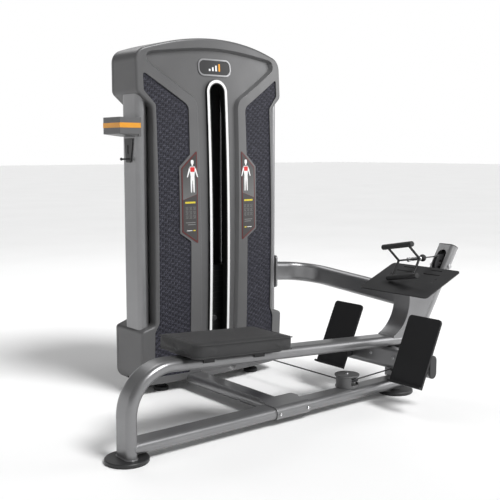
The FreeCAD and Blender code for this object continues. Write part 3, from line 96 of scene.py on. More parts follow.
# ---- Materials ------------------------------------------------------------------------------------
class Nodes:
    """Short helper for building one material's node tree."""

    def __init__(self, name):
        self.material = bpy.data.materials.new(name)
        self.material.use_nodes = True
        self.tree = self.material.node_tree
        self.shader = self.tree.nodes["Principled BSDF"]
        self.coords = self.add("ShaderNodeTexCoord").outputs["Object"]

    def add(self, kind, **settings):
        node = self.tree.nodes.new(kind)
        for key, value in settings.items():
            if key in node.inputs:
                self.put(node.inputs[key], value)
            else:
                setattr(node, key, value)
        return node

    def put(self, socket, value):
        if isinstance(value, bpy.types.NodeSocket):
            self.tree.links.new(value, socket)
        else:
            socket.default_value = value

    def math(self, operation, *values):
        node = self.add("ShaderNodeMath", operation=operation)
        for index, value in enumerate(values):
            self.put(node.inputs[index], value)
        return node.outputs[0]

    def ramp(self, factor, *stops):
        node = self.add("ShaderNodeValToRGB")
        elements = node.color_ramp.elements
        while len(elements) < len(stops):
            elements.new(0.5)
        for element, (position, color) in zip(elements, stops):
            element.position = position
            element.color = (*color, 1)
        self.put(node.inputs[0], factor)
        return node.outputs[0]

    def noise(self, scale, detail=3.0, rough=0.55, vector=None):
        node = self.add("ShaderNodeTexNoise", Scale=scale, Detail=detail, Roughness=rough)
        self.put(node.inputs["Vector"], vector or self.coords)
        return node.outputs[0]

    def mix(self, factor, first, second):
        node = self.add("ShaderNodeMix", data_type="RGBA")
        self.put(node.inputs[0], factor)
        for socket, value in ((node.inputs[6], first), (node.inputs[7], second)):
            self.put(socket, (*value, 1) if isinstance(value, tuple) and len(value) == 3 else value)
        return node.outputs[2]

    def span(self, value, low, high):
        node = self.add("ShaderNodeMapRange")
        self.put(node.inputs[0], value)
        node.inputs[3].default_value = low
        node.inputs[4].default_value = high
        return node.outputs[0]

    def stretched(self, scale):
        node = self.add("ShaderNodeMapping", Scale=scale)
        self.put(node.inputs["Vector"], self.coords)
        return node.outputs[0]

    def bump(self, height, strength, distance, normal=None):
        node = self.add("ShaderNodeBump", Strength=strength, Distance=distance)
        self.put(node.inputs["Height"], height)
        if normal:
            self.put(node.inputs["Normal"], normal)
        return node.outputs[0]

    def soft_edges(self, radius):
        return self.add("ShaderNodeBevel", samples=4, Radius=radius).outputs[0]

    def edge_mask(self, rounded):
        """Near 0 on flat surfaces, rising along sharp edges."""
        geometry = self.add("ShaderNodeNewGeometry")
        dot = self.add("ShaderNodeVectorMath", operation="DOT_PRODUCT")
        self.put(dot.inputs[0], rounded)
        self.put(dot.inputs[1], geometry.outputs["Normal"])
        return self.math("SUBTRACT", 1.0, dot.outputs["Value"])

    def finish(self, color, roughness, normal, **fixed):
        self.put(self.shader.inputs["Base Color"], color)
        self.put(self.shader.inputs["Roughness"], roughness)
        if normal:
            self.put(self.shader.inputs["Normal"], normal)
        for key, value in fixed.items():
            self.shader.inputs[key.replace("_", " ")].default_value = value
        return self.material


def scaled(color, factor):
    return tuple(min(channel * factor, 1.0) for channel in color)


def powder_coat(name, color, metallic, rough, grain=0.12, edge=1.5, radius=0.0015, gloss=0.5):
    """Fine orange-peel paint with cloudy tone, a little dust and a painted highlight along the edges."""
    n = Nodes(name)
    cloud = n.noise(3.2, 4.0)
    tone = n.ramp(cloud, (0.25, scaled(color, 0.90)), (0.75, scaled(color, 1.10)))
    speck = n.ramp(n.noise(620.0, 2.0), (0.42, (0, 0, 0)), (0.72, (1, 1, 1)))
    tone = n.mix(n.math("MULTIPLY", speck, 0.16), tone, scaled(color, 1.45))
    rounded = n.soft_edges(radius)
    # Painted highlight: along sharp edges the tone is mixed towards the colour times (edge + 0.35), in noisy
    # patches.
    edges = n.math("MULTIPLY", n.edge_mask(rounded), 2.2)
    edges = n.math("MULTIPLY", edges, n.span(n.noise(38.0, 3.0), 0.35, 1.0))
    tone = n.mix(n.math("MINIMUM", edges, 0.55), tone, scaled(color, edge + 0.35))
    height = n.noise(520.0, 3.0, 0.6)
    normal = n.bump(height, grain, 0.0004, rounded)
    roughness = n.span(n.noise(14.0, 5.0), rough - 0.05, rough + 0.06)
    return n.finish(tone, roughness, normal, Metallic=metallic, Specular_IOR_Level=gloss)


def moulded(name, color, rough, grain=0.10, radius=0.0010, scale=900.0):
    """Injection-moulded plastic or rubber with a fine eroded texture."""
    n = Nodes(name)
    cloud = n.noise(9.0, 4.0)
    tone = n.ramp(cloud, (0.3, scaled(color, 0.86)), (0.75, scaled(color, 1.14)))
    height = n.noise(scale, 4.0, 0.65)
    rounded = n.soft_edges(radius)
    normal = n.bump(height, grain, 0.0005, rounded)
    return n.finish(tone, n.span(n.noise(22.0, 4.0), rough - 0.06, rough + 0.06), normal, Metallic=0.0)


def brushed(name, color, rough, stretch=(900, 900, 30)):
    n = Nodes(name)
    streaks = n.noise(1.0, 3.0, 0.6, n.stretched(stretch))
    tone = n.ramp(streaks, (0.3, scaled(color, 0.82)), (0.7, scaled(color, 1.12)))
    normal = n.bump(streaks, 0.10, 0.0002, n.soft_edges(0.0006))
    return n.finish(tone, n.span(streaks, rough - 0.06, rough + 0.08), normal, Metallic=1.0)


def woven(name, pitch=0.0080, run=3):
    """Twill of flat strips: each strip passes over `run` others, then under as many."""
    n = Nodes(name)
    split = n.add("ShaderNodeSeparateXYZ")
    n.put(split.inputs[0], n.coords)
    across = n.math("DIVIDE", split.outputs["X"], pitch)
    up = n.math("DIVIDE", split.outputs["Z"], pitch)
    column = n.math("FLOOR", across)
    row = n.math("FLOOR", up)
    stair = n.math("FLOORED_MODULO", n.math("ADD", column, n.math("MULTIPLY", row, 2.0)), 2.0 * run)
    level = n.math("LESS_THAN", stair, float(run))

    def strip(position, along, step):
        edge = n.math("ABSOLUTE", n.math("SUBTRACT", n.math("FRACT", position), 0.5))
        dome = n.math("SUBTRACT", 1.0, n.math("POWER", n.math("MULTIPLY", edge, 2.0), 3.0))
        part = n.math("DIVIDE", n.math("ADD", n.math("FRACT", along), step), float(run))
        bend = n.math("ABSOLUTE", n.math("SUBTRACT", n.math("MULTIPLY", part, 2.0), 1.0))
        dip = n.math("SUBTRACT", 1.0, n.math("MULTIPLY", n.math("POWER", bend, 4.0), 0.7))
        return n.math("MULTIPLY", dome, dip)

    flat = strip(up, across, n.math("FLOORED_MODULO", stair, float(run)))
    tall = strip(across, up, n.math("FLOORED_MODULO", n.math("SUBTRACT", 2.0 * run - 1.0, stair), float(run)))
    height = n.add("ShaderNodeMix", data_type="FLOAT")
    n.put(height.inputs[0], level)
    n.put(height.inputs[2], tall)
    n.put(height.inputs[3], flat)
    height = height.outputs[0]
    cell = n.add("ShaderNodeCombineXYZ")
    n.put(cell.inputs[0], column)
    n.put(cell.inputs[1], row)
    thread = n.add("ShaderNodeTexWhiteNoise", noise_dimensions="3D")
    n.put(thread.inputs["Vector"], cell.outputs[0])
    pale = n.math("MULTIPLY", n.math("GREATER_THAN", thread.outputs[0], 0.80), 0.5)
    # Painted shade: the colour darkens with the strips' height, deepest in the dips and gaps between strips;
    # strips lying one way are mixed a little lighter.
    painted_relief_shade = n.ramp(height, (0.05, (0.004, 0.004, 0.007)), (0.55, (0.016, 0.016, 0.024)),
                           (0.95, (0.034, 0.034, 0.048)))
    color = n.mix(n.math("MULTIPLY", pale, height), painted_relief_shade, (0.09, 0.09, 0.12))
    shade = n.mix(n.math("MULTIPLY", level, 0.35), color, (0.048, 0.048, 0.064))
    # More painted shade where the strips are low.
    shade = n.mix(n.math("SUBTRACT", 1.0, height), shade, (0.004, 0.004, 0.007))
    fibre = n.noise(1.0, 3.0, 0.6, n.stretched((2600, 2600, 900)))
    normal = n.bump(fibre, 0.12, 0.0003)
    normal = n.bump(height, 0.9, 0.0016, normal)
    return n.finish(shade, n.span(fibre, 0.50, 0.72), normal, Specular_IOR_Level=0.3)


def vinyl(name, color):
    """Upholstery vinyl: pebbled grain with fine creases."""
    n = Nodes(name)
    cells = n.add("ShaderNodeTexVoronoi", feature="DISTANCE_TO_EDGE", Scale=520.0)
    n.put(cells.inputs["Vector"], n.coords)
    pebble = n.ramp(cells.outputs["Distance"], (0.0, (0, 0, 0)), (0.22, (1, 1, 1)))
    crease = n.noise(70.0, 6.0, 0.6)
    tone = n.ramp(n.noise(7.0, 4.0), (0.25, scaled(color, 0.85)), (0.8, scaled(color, 1.18)))
    # Painted shade: the grooves between the pebbles are darkened towards 0.45 of the colour.
    tone = n.mix(n.math("MULTIPLY", n.math("SUBTRACT", 1.0, pebble), 0.35), tone, scaled(color, 0.45))
    normal = n.bump(crease, 0.12, 0.0012)
    normal = n.bump(pebble, 0.25, 0.0004, normal)
    return n.finish(tone, n.span(crease, 0.48, 0.64), normal, Sheen_Weight=0.05, Specular_IOR_Level=0.3)


def lip_only(name, color, inner_tone, middle_x, top_z, inner):
    """White moulding on the outer lip of a round-topped slot, near-black on the rest of it."""
    n = Nodes(name)
    facing = n.add("ShaderNodeSeparateXYZ")
    n.put(facing.inputs[0], n.add("ShaderNodeNewGeometry").outputs["True Normal"])
    place = n.add("ShaderNodeSeparateXYZ")
    n.put(place.inputs[0], n.coords)
    across = n.math("SUBTRACT", place.outputs["X"], middle_x)
    above = n.math("MAXIMUM", n.math("SUBTRACT", place.outputs["Z"], top_z), 0.0)
    distance = n.math("SQRT", n.math("ADD", n.math("POWER", n.math("ABSOLUTE", across), 2.0),
                                     n.math("POWER", above, 2.0)))
    outward = n.math("MULTIPLY", n.math("LESS_THAN", facing.outputs["Y"], -0.7),
                     n.math("GREATER_THAN", distance, inner))
    grain = n.noise(800.0, 3.0)
    tone = n.mix(outward, inner_tone, n.ramp(grain, (0.3, scaled(color, 0.93)), (0.7, color)))
    normal = n.bump(grain, 0.04, 0.0003, n.soft_edges(0.0015))
    return n.finish(tone, n.span(grain, 0.26, 0.36), normal)


def gradient(name, low_color, high_color, low_z, high_z, rough=0.35):
    """Printed sheet that turns from one tone to another over its height."""
    n = Nodes(name)
    split = n.add("ShaderNodeSeparateXYZ")
    n.put(split.inputs[0], n.coords)
    height = n.math("DIVIDE", n.math("SUBTRACT", split.outputs["Z"], low_z), high_z - low_z)
    tone = n.ramp(height, (0.0, low_color), (1.0, high_color))
    dots = n.noise(1500.0, 2.0)
    tone = n.mix(n.math("MULTIPLY", dots, 0.10), tone, scaled(high_color, 0.6))
    return n.finish(tone, n.span(n.noise(40.0), rough - 0.05, rough + 0.08), n.bump(dots, 0.04, 0.0002))


def printed(name, color, rough=0.4):
    n = Nodes(name)
    ink = n.noise(260.0, 3.0)
    tone = n.ramp(ink, (0.3, scaled(color, 0.9)), (0.7, scaled(color, 1.06)))
    return n.finish(tone, n.span(ink, rough - 0.05, rough + 0.06), n.bump(ink, 0.04, 0.0002))


silver = powder_coat("silver_paint", (0.25, 0.25, 0.255), 0.75, 0.33, grain=0.10)
# Painted light: the column uses the frame's silver mixed lighter, as a lit copy of the same paint.
lit_column_silver = powder_coat("lit_column_paint", (0.34, 0.34, 0.345), 0.75, 0.33, grain=0.10)
cover_grey = powder_coat("cover_paint", (0.115, 0.115, 0.117), 0.35, 0.42, grain=0.10, radius=0.0025)
charcoal = powder_coat("charcoal_coat", (0.024, 0.024, 0.025), 0.0, 0.50, grain=0.22, gloss=0.3)
shelf_grey = powder_coat("shelf_coat", (0.026, 0.026, 0.027), 0.0, 0.55, grain=0.25, gloss=0.25)
plate_black = powder_coat("footplate_coat", (0.015, 0.015, 0.016), 0.0, 0.50, grain=0.25, gloss=0.3)
# Floor discs: edge=5.0 paints a bright highlight line round the rim.
disc_grey = powder_coat("disc_coat", (0.022, 0.022, 0.023), 0.0, 0.40, grain=0.15, edge=5.0, gloss=0.4)
weave = woven("basket_weave")
seat_cover = vinyl("seat_vinyl", (0.034, 0.034, 0.035))
rubber = moulded("black_rubber", (0.018, 0.018, 0.019), 0.72, 0.25)
grip_foam = moulded("grip_rubber", (0.020, 0.020, 0.021), 0.62, 0.40, scale=700.0)
plastic = moulded("black_plastic", (0.022, 0.022, 0.023), 0.42)
nylon = moulded("pulley_nylon", (0.030, 0.030, 0.032), 0.36)
iron = moulded("enamelled_iron", (0.014, 0.014, 0.015), 0.45, 0.55, scale=300.0)
trim_white = lip_only("white_trim", (0.82, 0.82, 0.82), (0.008, 0.008, 0.008), at(TOWER_X, 0, 0).x,
                      SLOT_TOP_Z, SLOT_LIP)
steel = brushed("bright_steel", (0.55, 0.55, 0.56), 0.26)
rod_steel = brushed("ground_rod", (0.42, 0.42, 0.43), 0.22, (40, 40, 2500))
rim_silver = brushed("badge_rim", (0.40, 0.40, 0.41), 0.30)
black_tube = powder_coat("handle_paint", (0.022, 0.022, 0.023), 0.3, 0.36, grain=0.08, radius=0.0005)
sheath = moulded("cable_sheath", (0.030, 0.030, 0.032), 0.34, 0.05, radius=0.0003)
orange = moulded("orange_band", (0.78, 0.33, 0.02), 0.36, 0.05)
red_border = printed("dark_red_print", (0.10, 0.014, 0.014))
print_white = printed("white_print", (0.80, 0.80, 0.80))
print_red = printed("red_print", (0.60, 0.012, 0.012))
print_yellow = printed("yellow_print", (0.62, 0.50, 0.03))
print_grey = printed("grey_print", (0.20, 0.20, 0.20))
print_dark = printed("dark_print", (0.045, 0.042, 0.042))
field = gradient("placard_field", (0.13, 0.13, 0.13), (0.035, 0.034, 0.034), 0.87, 1.04)

NODE_MATERIALS = {
    silver: ["leg_and_seat_rail", "lower_rail", "cross_tube", "joint_saddle", "brace_arm", "column_gusset",
             "footplate_tube", "upright_left", "upright_right", "column_base_post"],
    lit_column_silver: ["column_tube"],
    cover_grey: ["front_shroud", "rear_shroud", "cup_holder", "rail_pulley_bracket"],
    charcoal: ["seat_board", "tower_base_frame", "top_beam", "footplate_bracket_near",
               "footplate_bracket_far"],
    disc_grey: ["floor_disc_leg", "floor_disc_column"],
    shelf_grey: ["handle_shelf"],
    plate_black: ["footplate_near", "footplate_far"],
    plastic: ["end_caps", "towel_hook", "selector_pin"],
    weave: ["mesh_panel_left", "mesh_panel_right"],
    red_border: ["placard_left", "placard_right"],
    trim_white: ["slot_trim"],
    rim_silver: ["badge"],
    orange: ["cup_holder_band"],
    iron: ["weight_plates_resting", "weight_plates_lifted", "top_plate"],
    steel: ["axles_and_bolts", "swivel_link", "selector_rod"],
    rod_steel: ["guide_rod_left", "guide_rod_right"],
    sheath: ["cable_frame_run"],
    nylon: ["top_inner_pulley", "top_outer_pulley", "tower_bottom_pulley", "rail_pulley",
            "column_base_pulley", "column_top_pulley"],
    black_tube: ["handle_frame"],
    grip_foam: ["handle_grips"],
    rubber: ["floor_pad_leg", "floor_pad_column", "tower_feet", "stack_buffer", "ball_stop"],
}
for material, names in NODE_MATERIALS.items():
    for name in names:
        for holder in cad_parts[name].material_slots:
            holder.material = material


# ---- Mesh helpers ---------------------------------------------------------------------------------
def new_piece(name, mesh, material, body, smooth):
    piece = bpy.data.objects.new(name, mesh)
    bpy.context.scene.collection.objects.link(piece)
    mesh.materials.append(material)
    for polygon in mesh.polygons:
        polygon.use_smooth = smooth
    if body:
        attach(piece, body)
    return piece


def from_bmesh(name, bm, material, body="frame", smooth=True):
    bmesh.ops.recalc_face_normals(bm, faces=bm.faces)
    mesh = bpy.data.meshes.new(name)
    bm.to_mesh(mesh)
    bm.free()
    return new_piece(name, mesh, material, body, smooth)


def rounded_points(corners, steps=6):
    """Points round a closed 2-D outline of (a, b, radius) corners."""
    points = []
    count = len(corners)
    for index, (a, b, radius) in enumerate(corners):
        corner = Vector((a, b))
        before = (Vector(corners[index - 1][:2]) - corner).normalized()
        after = (Vector(corners[(index + 1) % count][:2]) - corner).normalized()
        half = before.angle(after) / 2
        centre = corner + (before + after).normalized() * (radius / math.sin(half))
        start = corner + before * (radius / math.tan(half)) - centre
        end = corner + after * (radius / math.tan(half)) - centre
        first = math.atan2(start.y, start.x)
        turn = (math.atan2(end.y, end.x) - first + math.pi) % math.tau - math.pi
        for step in range(steps + 1):
            angle = first + turn * step / steps
            points.append(centre + Vector((math.cos(angle), math.sin(angle))) * radius)
    return points


def tube_along(name, points, radius, material, body="frame", closed=False, sides=12, vary=None):
    """Round tube along a list of row-frame points."""
    count = len(points)
    bm = bmesh.new()
    rings = []
    normal = None
    for index, point in enumerate(points):
        ahead = points[(index + 1) % count] if closed or index < count - 1 else point
        behind = points[index - 1] if closed or index > 0 else point
        tangent = (ahead - behind).normalized()
        if normal is None:
            normal = tangent.orthogonal().normalized()
        normal = (normal - tangent * normal.dot(tangent)).normalized()
        other = tangent.cross(normal)
        size = radius * (vary(index) if vary else 1.0)
        rings.append([bm.verts.new(point + (normal * math.cos(math.tau * k / sides)
                                            + other * math.sin(math.tau * k / sides)) * size)
                      for k in range(sides)])
    for index in range(count if closed else count - 1):
        first = rings[index]
        second = rings[(index + 1) % count]
        for k in range(sides):
            bm.faces.new((first[k], first[(k + 1) % sides], second[(k + 1) % sides], second[k]))
    if not closed:
        bm.faces.new(rings[0])
        bm.faces.new(rings[-1])
    return from_bmesh(name, bm, material, body)


def decal(name, corners, lift, material, side=1, recess=0.0):
    """Thin raised print or plate that follows the cover's crown, from (dx, z, radius) corners."""
    bm = bmesh.new()
    outline = [bm.verts.new((p.x * side, 0, p.y)) for p in rounded_points(corners)]
    bm.faces.new(outline)
    bmesh.ops.triangulate(bm, faces=bm.faces)
    for axis, step in DECAL_CUTS:
        level = min(vert.co[axis] for vert in bm.verts) + step
        high = max(vert.co[axis] for vert in bm.verts)
        across = Vector((axis == 0, 0, axis == 2))
        while level < high:
            geometry = bm.verts[:] + bm.edges[:] + bm.faces[:]
            bmesh.ops.bisect_plane(bm, geom=geometry, plane_co=across * level, plane_no=across)
            level += step
    sheet = bmesh.ops.extrude_face_region(bm, geom=bm.faces[:])
    moved = {element for element in sheet["geom"] if isinstance(element, bmesh.types.BMVert)}
    for vert in bm.verts:
        depth = lift + (DECAL_THICK if vert in moved else 0)
        y = crown_y(vert.co.x, vert.co.z) + recess - depth
        vert.co = at(TOWER_X + vert.co.x, y, vert.co.z)
    return from_bmesh(name, bm, material, smooth=False)


def box_corners(low_a, high_a, low_b, high_b, radius):
    return [(low_a, low_b, radius), (high_a, low_b, radius),
            (high_a, high_b, radius), (low_a, high_b, radius)]


# ---- Seat pad -------------------------------------------------------------------------------------
def build_seat():
    """Vinyl cushion on the slope of the rail, puffed a little, with two pipings."""
    low, high = (Vector(corner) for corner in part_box("seat_pad"))
    half_x, half_y, half_z = SEAT_HALF
    corners = [(-half_x, -half_y, 0.036), (half_x, -half_y, 0.010), (half_x, half_y, 0.022),
               (-half_x, half_y, 0.007)]
    outline = rounded_points(corners, 8)
    bm = bmesh.new()
    rings = []
    for inset, z in ((0.008, -half_z), (0.001, 0.005 - half_z), (0.0, 0.0), (0.0004, half_z - 0.005),
                     (0.0018, half_z - 0.0015), (0.005, half_z)):
        scale_x = (half_x - inset) / half_x
        scale_y = (half_y - inset) / half_y
        rings.append([bm.verts.new((point.x * scale_x, point.y * scale_y, z)) for point in outline])
    count = len(outline)
    for first, second in zip(rings, rings[1:]):
        for k in range(count):
            bm.faces.new((first[k], first[(k + 1) % count], second[(k + 1) % count], second[k]))
    bm.faces.new(rings[0])
    bm.faces.new(rings[-1])
    pad = from_bmesh("seat_cushion", bm, seat_cover)
    remesh = pad.modifiers.new("remesh", "REMESH")
    remesh.mode = "VOXEL"
    remesh.voxel_size = SEAT_VOXEL
    apply_modifiers(pad)
    rest = [vert.co.copy() for vert in pad.data.vertices]
    inflate(pad, rest)
    for vert, start in zip(pad.data.vertices, rest):
        moved = vert.co - start
        if moved.length > SEAT_MOVE:
            moved *= SEAT_MOVE / moved.length
        edge = max(abs(start.x) / half_x, abs(start.y) / half_y)
        crown = SEAT_CROWN * (1 - min(edge, 1.0) ** 3) if start.z > 0 else 0
        if start.z < 0.004 - half_z:
            moved.z = max(moved.z, 0)
        vert.co = start + moved + Vector((0, 0, crown))
    placed = Matrix.Translation((low + high) / 2) @ Matrix.Rotation(math.radians(SEAT_SLOPE), 4, "Y")
    pad.data.transform(placed)
    smooth = pad.modifiers.new("smooth", "SUBSURF")
    smooth.levels = 1
    smooth.render_levels = 1
    apply_modifiers(pad)
    for polygon in pad.data.polygons:
        polygon.use_smooth = True
    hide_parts("seat_pad")
    seam = rounded_points([(x * SEAM_PROUD[0], y * SEAM_PROUD[1], radius) for x, y, radius in corners], 10)
    for name, level in (("seat_piping_top", half_z - 0.0030), ("seat_piping_low", 0.0060 - half_z)):
        path = [placed @ Vector((point.x, point.y, level)) for point in seam]
        tube_along(name, path, 0.0013, seat_cover, closed=True, sides=8)


def apply_modifiers(piece):
    graph = bpy.context.evaluated_depsgraph_get()
    mesh = bpy.data.meshes.new_from_object(piece.evaluated_get(graph))
    piece.modifiers.clear()
    piece.data = mesh


def inflate(pad, rest):
    cloth = pad.modifiers.new("cloth", "CLOTH")
    cloth.settings.use_pressure = True
    cloth.settings.uniform_pressure_force = 4.0
    cloth.settings.quality = 6
    cloth.settings.tension_stiffness = 18
    cloth.settings.compression_stiffness = 18
    cloth.settings.bending_stiffness = 2.0
    cloth.settings.effector_weights.gravity = 0.0
    cloth.point_cache.frame_start = 1
    cloth.point_cache.frame_end = CLOTH_STEPS
    for step in range(1, CLOTH_STEPS + 1):
        bpy.context.scene.frame_set(step)
    graph = bpy.context.evaluated_depsgraph_get()
    moved = [vert.co.copy() for vert in pad.evaluated_get(graph).data.vertices]
    pad.modifiers.clear()
    bpy.context.scene.frame_set(1)
    if len(moved) == len(rest):
        for vert, place in zip(pad.data.vertices, moved):
            vert.co = place


# ---- Badge and placards ---------------------------------------------------------------------------
def build_badge():
    decal("badge_face", box_corners(-84, 84, 1428, 1490, 24), 0.2, plastic,
          recess=BADGE_RECESS)
    for index, height in enumerate((10, 18, 26, 34)):
        left = -34 + index * 18
        tone = orange if index == 3 else print_white
        decal("badge_bar_%d" % index, box_corners(left, left + 9, 1443, 1443 + height, 1.5), 0.5, tone,
              recess=BADGE_RECESS)


FIGURE = {
    "head": [(-8, 150, 6), (8, 150, 6), (8, 172, 7), (-8, 172, 7)],
    "neck": [(-4, 142, 1), (4, 142, 1), (4, 152, 1), (-4, 152, 1)],
    "trunk": [(-11, 84, 4), (11, 84, 4), (17, 138, 6), (-17, 138, 6)],
    "hips": [(-12, 66, 4), (12, 66, 4), (11, 88, 3), (-11, 88, 3)],
    "arm_left": [(-17, 136, 4), (-20, 130, 4), (-33, 84, 4), (-28, 82, 3), (-14, 118, 3)],
    "arm_right": [(17, 136, 4), (14, 118, 3), (28, 82, 3), (33, 84, 4), (20, 130, 4)],
    "leg_left": [(-12, 70, 3), (-11, 4, 3), (-5, 4, 3), (-1, 70, 3)],
    "leg_right": [(12, 70, 3), (1, 70, 3), (5, 4, 3), (11, 4, 3)],
}


def build_placard(name, side):
    def put(part, corners, lift, tone):
        decal("placard_%s_%s" % (name, part), corners, lift, tone, side)

    put("field", [(131, 1074, 2), (202, 1007, 4), (202, 869, 1), (131, 893, 1)], SHEET_LIFT, field)
    put("panel", [(131, 891, 1), (202, 867, 1), (202, 729, 4), (131, 684, 2)], SHEET_LIFT, print_dark)
    for part, corners in FIGURE.items():
        shifted = [(FIGURE_X + a * 0.88, 898 + b * 0.86, radius * 0.8) for a, b, radius in corners]
        put(part, shifted, PRINT_LIFT, print_white)
    put("muscle", [(FIGURE_X - 11, 993, 4), (FIGURE_X + 11, 993, 4), (FIGURE_X + 12, 1014, 4),
                   (FIGURE_X - 12, 1014, 4)], OVERPRINT_LIFT, print_red)
    put("bar", box_corners(139, 192, 853, 861, 2), PRINT_LIFT, print_yellow)
    for row in range(3):
        for column in range(3):
            left = 140 + column * 19
            low = 786 + row * 19
            top = low + 12
            slant = [(left + 3, low + 3, 0.3), (left + 5, low + 3, 0.3),
                     (left + 11, low + 10, 0.3), (left + 9, low + 10, 0.3)]
            for part, corners in (("low", box_corners(left, left + 13, low, low + DIAGRAM_LINE, 0.3)),
                                  ("high", box_corners(left, left + 13, top, top + DIAGRAM_LINE, 0.3)),
                                  ("near", box_corners(left, left + DIAGRAM_LINE, low, low + 13, 0.3)),
                                  ("slant", slant)):
                put("diagram_%d_%d_%s" % (row, column, part), corners, PRINT_LIFT, print_grey)
    for row, length in enumerate((50, 40)):
        low = 766 - row * 9
        put("line_%d" % row, box_corners(140, 140 + length, low, low + 3, 0.8), PRINT_LIFT, print_grey)
    put("foot_mark", box_corners(140, 152, 729, 734, 1.5), PRINT_LIFT, print_yellow)
    put("foot_line", box_corners(157, 185, 730, 733, 1.2), PRINT_LIFT, print_white)


# ---- Cables between the frame and the moving parts ------------------------------------------------
def moving_cable(name, start, end, node):
    """Straight cable between the frame and a moving body, built in place of the given CAD node."""
    path = [start + (end - start) * k / ROPE_STEPS for k in range(ROPE_STEPS + 1)]
    rope = tube_along(name, path, ROPE_RADIUS, sheath, body=None)
    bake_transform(rope)
    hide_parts(node)


def build_moving_cables():
    foot = at(TOWER_X, STACK_Y, 0)
    foot.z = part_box("selector_rod")[1][2]
    moving_cable("stack_rope", foot, Vector((foot.x, foot.y, TOP_AXLE_Z)), "cable_stack_run")
    low, high = (Vector(corner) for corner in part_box("cable_pull_run"))
    middle = (low + high) / 2
    moving_cable("pull_rope", Vector((low.x, middle.y, middle.z)), Vector((high.x, middle.y, middle.z)),
                 "cable_pull_run")


# ---- Welds ----------------------------------------------------------------------------------------
def stadium(centre, across, through, wide, thin, steps=14):
    """Points round a flat-oval section, in working millimetres."""
    radius = thin / 2
    reach = wide / 2 - radius
    points = []
    for end in (1, -1):
        for step in range(steps + 1):
            angle = math.pi * step / steps - math.pi / 2
            sideways = across * end * (reach + radius * math.cos(angle))
            points.append(centre + (sideways + through * end * radius * math.sin(angle)))
    return points


def weld(name, points, radius=0.0026):
    """Rippled bead along a joint."""
    ripple = random.Random(len(name))
    dense = []
    for first, second in zip(points, points[1:] + points[:1]):
        steps = max(1, int((second - first).length / 2.2))
        dense += [first.lerp(second, k / steps) for k in range(steps)]
    path = [at(*point) for point in dense]
    sizes = [1.0 + 0.22 * math.sin(index * 2.1) + ripple.uniform(-0.08, 0.08) for index in range(len(path))]
    tube_along(name, path, radius, silver, closed=True, sides=8,
               vary=lambda index: sizes[index])


def build_welds():
    x_axis, y_axis, z_axis = Vector((1, 0, 0)), Vector((0, 1, 0)), Vector((0, 0, 1))
    weld("weld_leg_to_disc", stadium(Vector((0, 0, 16.5)), y_axis, x_axis, 101, 46))
    weld("weld_rail_to_leg", stadium(Vector((23, 0, 50.5)), y_axis, z_axis, 93, 45.5))
    weld("weld_cross_tube_to_base", stadium(Vector((731, 674, 50.5)), x_axis, z_axis, 101, 46))


# ---- Rear cover screws ----------------------------------------------------------------------------
def build_screws():
    """Button-head screws with round sockets, along the edge of the rear cover."""
    profile = [(2.4, 0.6), (2.8, 2.6), (4.6, 2.2), (6.2, 1.2), (6.8, 0.0)]
    sides = 18
    step = math.tau / sides
    bm = bmesh.new()
    places = [(side * dx, z) for dx, z in ((372, 1450), (305, 1180), (305, 860), (305, 540), (372, 200))
              for side in (-1, 1)] + [(0, 1545), (-180, 96), (180, 96)]
    for dx, z in places:
        rings = []
        for radius, height in profile:
            rings.append([bm.verts.new(at(TOWER_X + dx + radius * math.cos(k * step), BACK_Y + height,
                                          z + radius * math.sin(k * step))) for k in range(sides)])
        bm.faces.new(rings[0])
        for first, second in zip(rings, rings[1:]):
            for k in range(sides):
                bm.faces.new((first[k], first[(k + 1) % sides], second[(k + 1) % sides], second[k]))
    from_bmesh("rear_cover_screws", bm, steel)


# ---- Stage ----------------------------------------------------------------------------------------
def light(name, kind, place, target, energy, **settings):
    data = bpy.data.lights.new(name, kind)
    data.energy = energy
    for key, value in settings.items():
        setattr(data, key, value)
    lamp = bpy.data.objects.new(name, data)
    lamp.location = place
    lamp.rotation_euler = (Vector(target) - Vector(place)).to_track_quat("-Z", "Y").to_euler()
    bpy.context.scene.collection.objects.link(lamp)


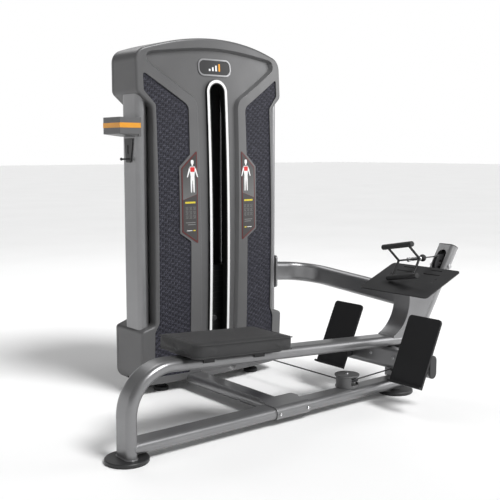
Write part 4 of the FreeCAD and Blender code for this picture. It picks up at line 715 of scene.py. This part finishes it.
def build_stage():
    half = FLOOR_HALF
    mesh = bpy.data.meshes.new("studio_floor")
    corners = [(-half, -half, 0), (half, -half, 0), (half, half, 0), (-half, half, 0)]
    mesh.from_pydata(corners, [], [(0, 1, 2, 3)])
    floor = bpy.data.objects.new("studio_floor", mesh)
    bpy.context.scene.collection.objects.link(floor)
    n = Nodes("pale_floor")
    tone = n.ramp(n.noise(0.9, 3.0), (0.3, (0.90, 0.90, 0.90)), (0.7, (0.93, 0.93, 0.93)))
    mesh.materials.append(n.finish(tone, 0.85, None))
    bpy.context.scene.view_settings.view_transform = "Standard"
    world = bpy.data.worlds.new("studio")
    bpy.context.scene.world = world
    world.use_nodes = True
    tree = world.node_tree
    background = tree.nodes["Background"]
    split = tree.nodes.new("ShaderNodeSeparateXYZ")
    tree.links.new(tree.nodes.new("ShaderNodeTexCoord").outputs["Generated"], split.inputs[0])
    sky = tree.nodes.new("ShaderNodeValToRGB")
    sky.color_ramp.elements[0].position = 0.17
    sky.color_ramp.elements[0].color = (1, 1, 1, 1)
    sky.color_ramp.elements[1].position = 0.30
    sky.color_ramp.elements[1].color = (0.16, 0.16, 0.16, 1)
    tree.links.new(split.outputs["Z"], sky.inputs[0])
    tree.links.new(sky.outputs[0], background.inputs["Color"])
    light("key", "SUN", (0.9, -3.6, 4.6), (0, 0, 0), 3.0, angle=math.radians(22))
    light("right_fill", "AREA", (4.2, -2.2, 2.2), (0, 0.2, 0.7), 60, shape="DISK", size=2.6)
    light("rear_top", "AREA", (0.5, 3.0, 4.4), (0.1, 0, 0.7), 60, shape="DISK", size=3.0)


def build_camera():
    data = bpy.data.cameras.new("camera")
    data.lens = 61.24
    data.sensor_width = 36
    data.clip_end = 200
    camera = bpy.data.objects.new("camera", data)
    camera.location = at(-1474.4, -2519.1, 1083.6)
    camera.rotation_euler = (math.radians(90 - 6.615), 0, math.radians(-38.86))
    bpy.context.scene.collection.objects.link(camera)
    bpy.context.scene.camera = camera


build_seat()
build_badge()
for placard_name, placard_side in (("left", -1), ("right", 1)):
    build_placard(placard_name, placard_side)
build_moving_cables()
build_welds()
build_screws()
build_stage()
build_camera()
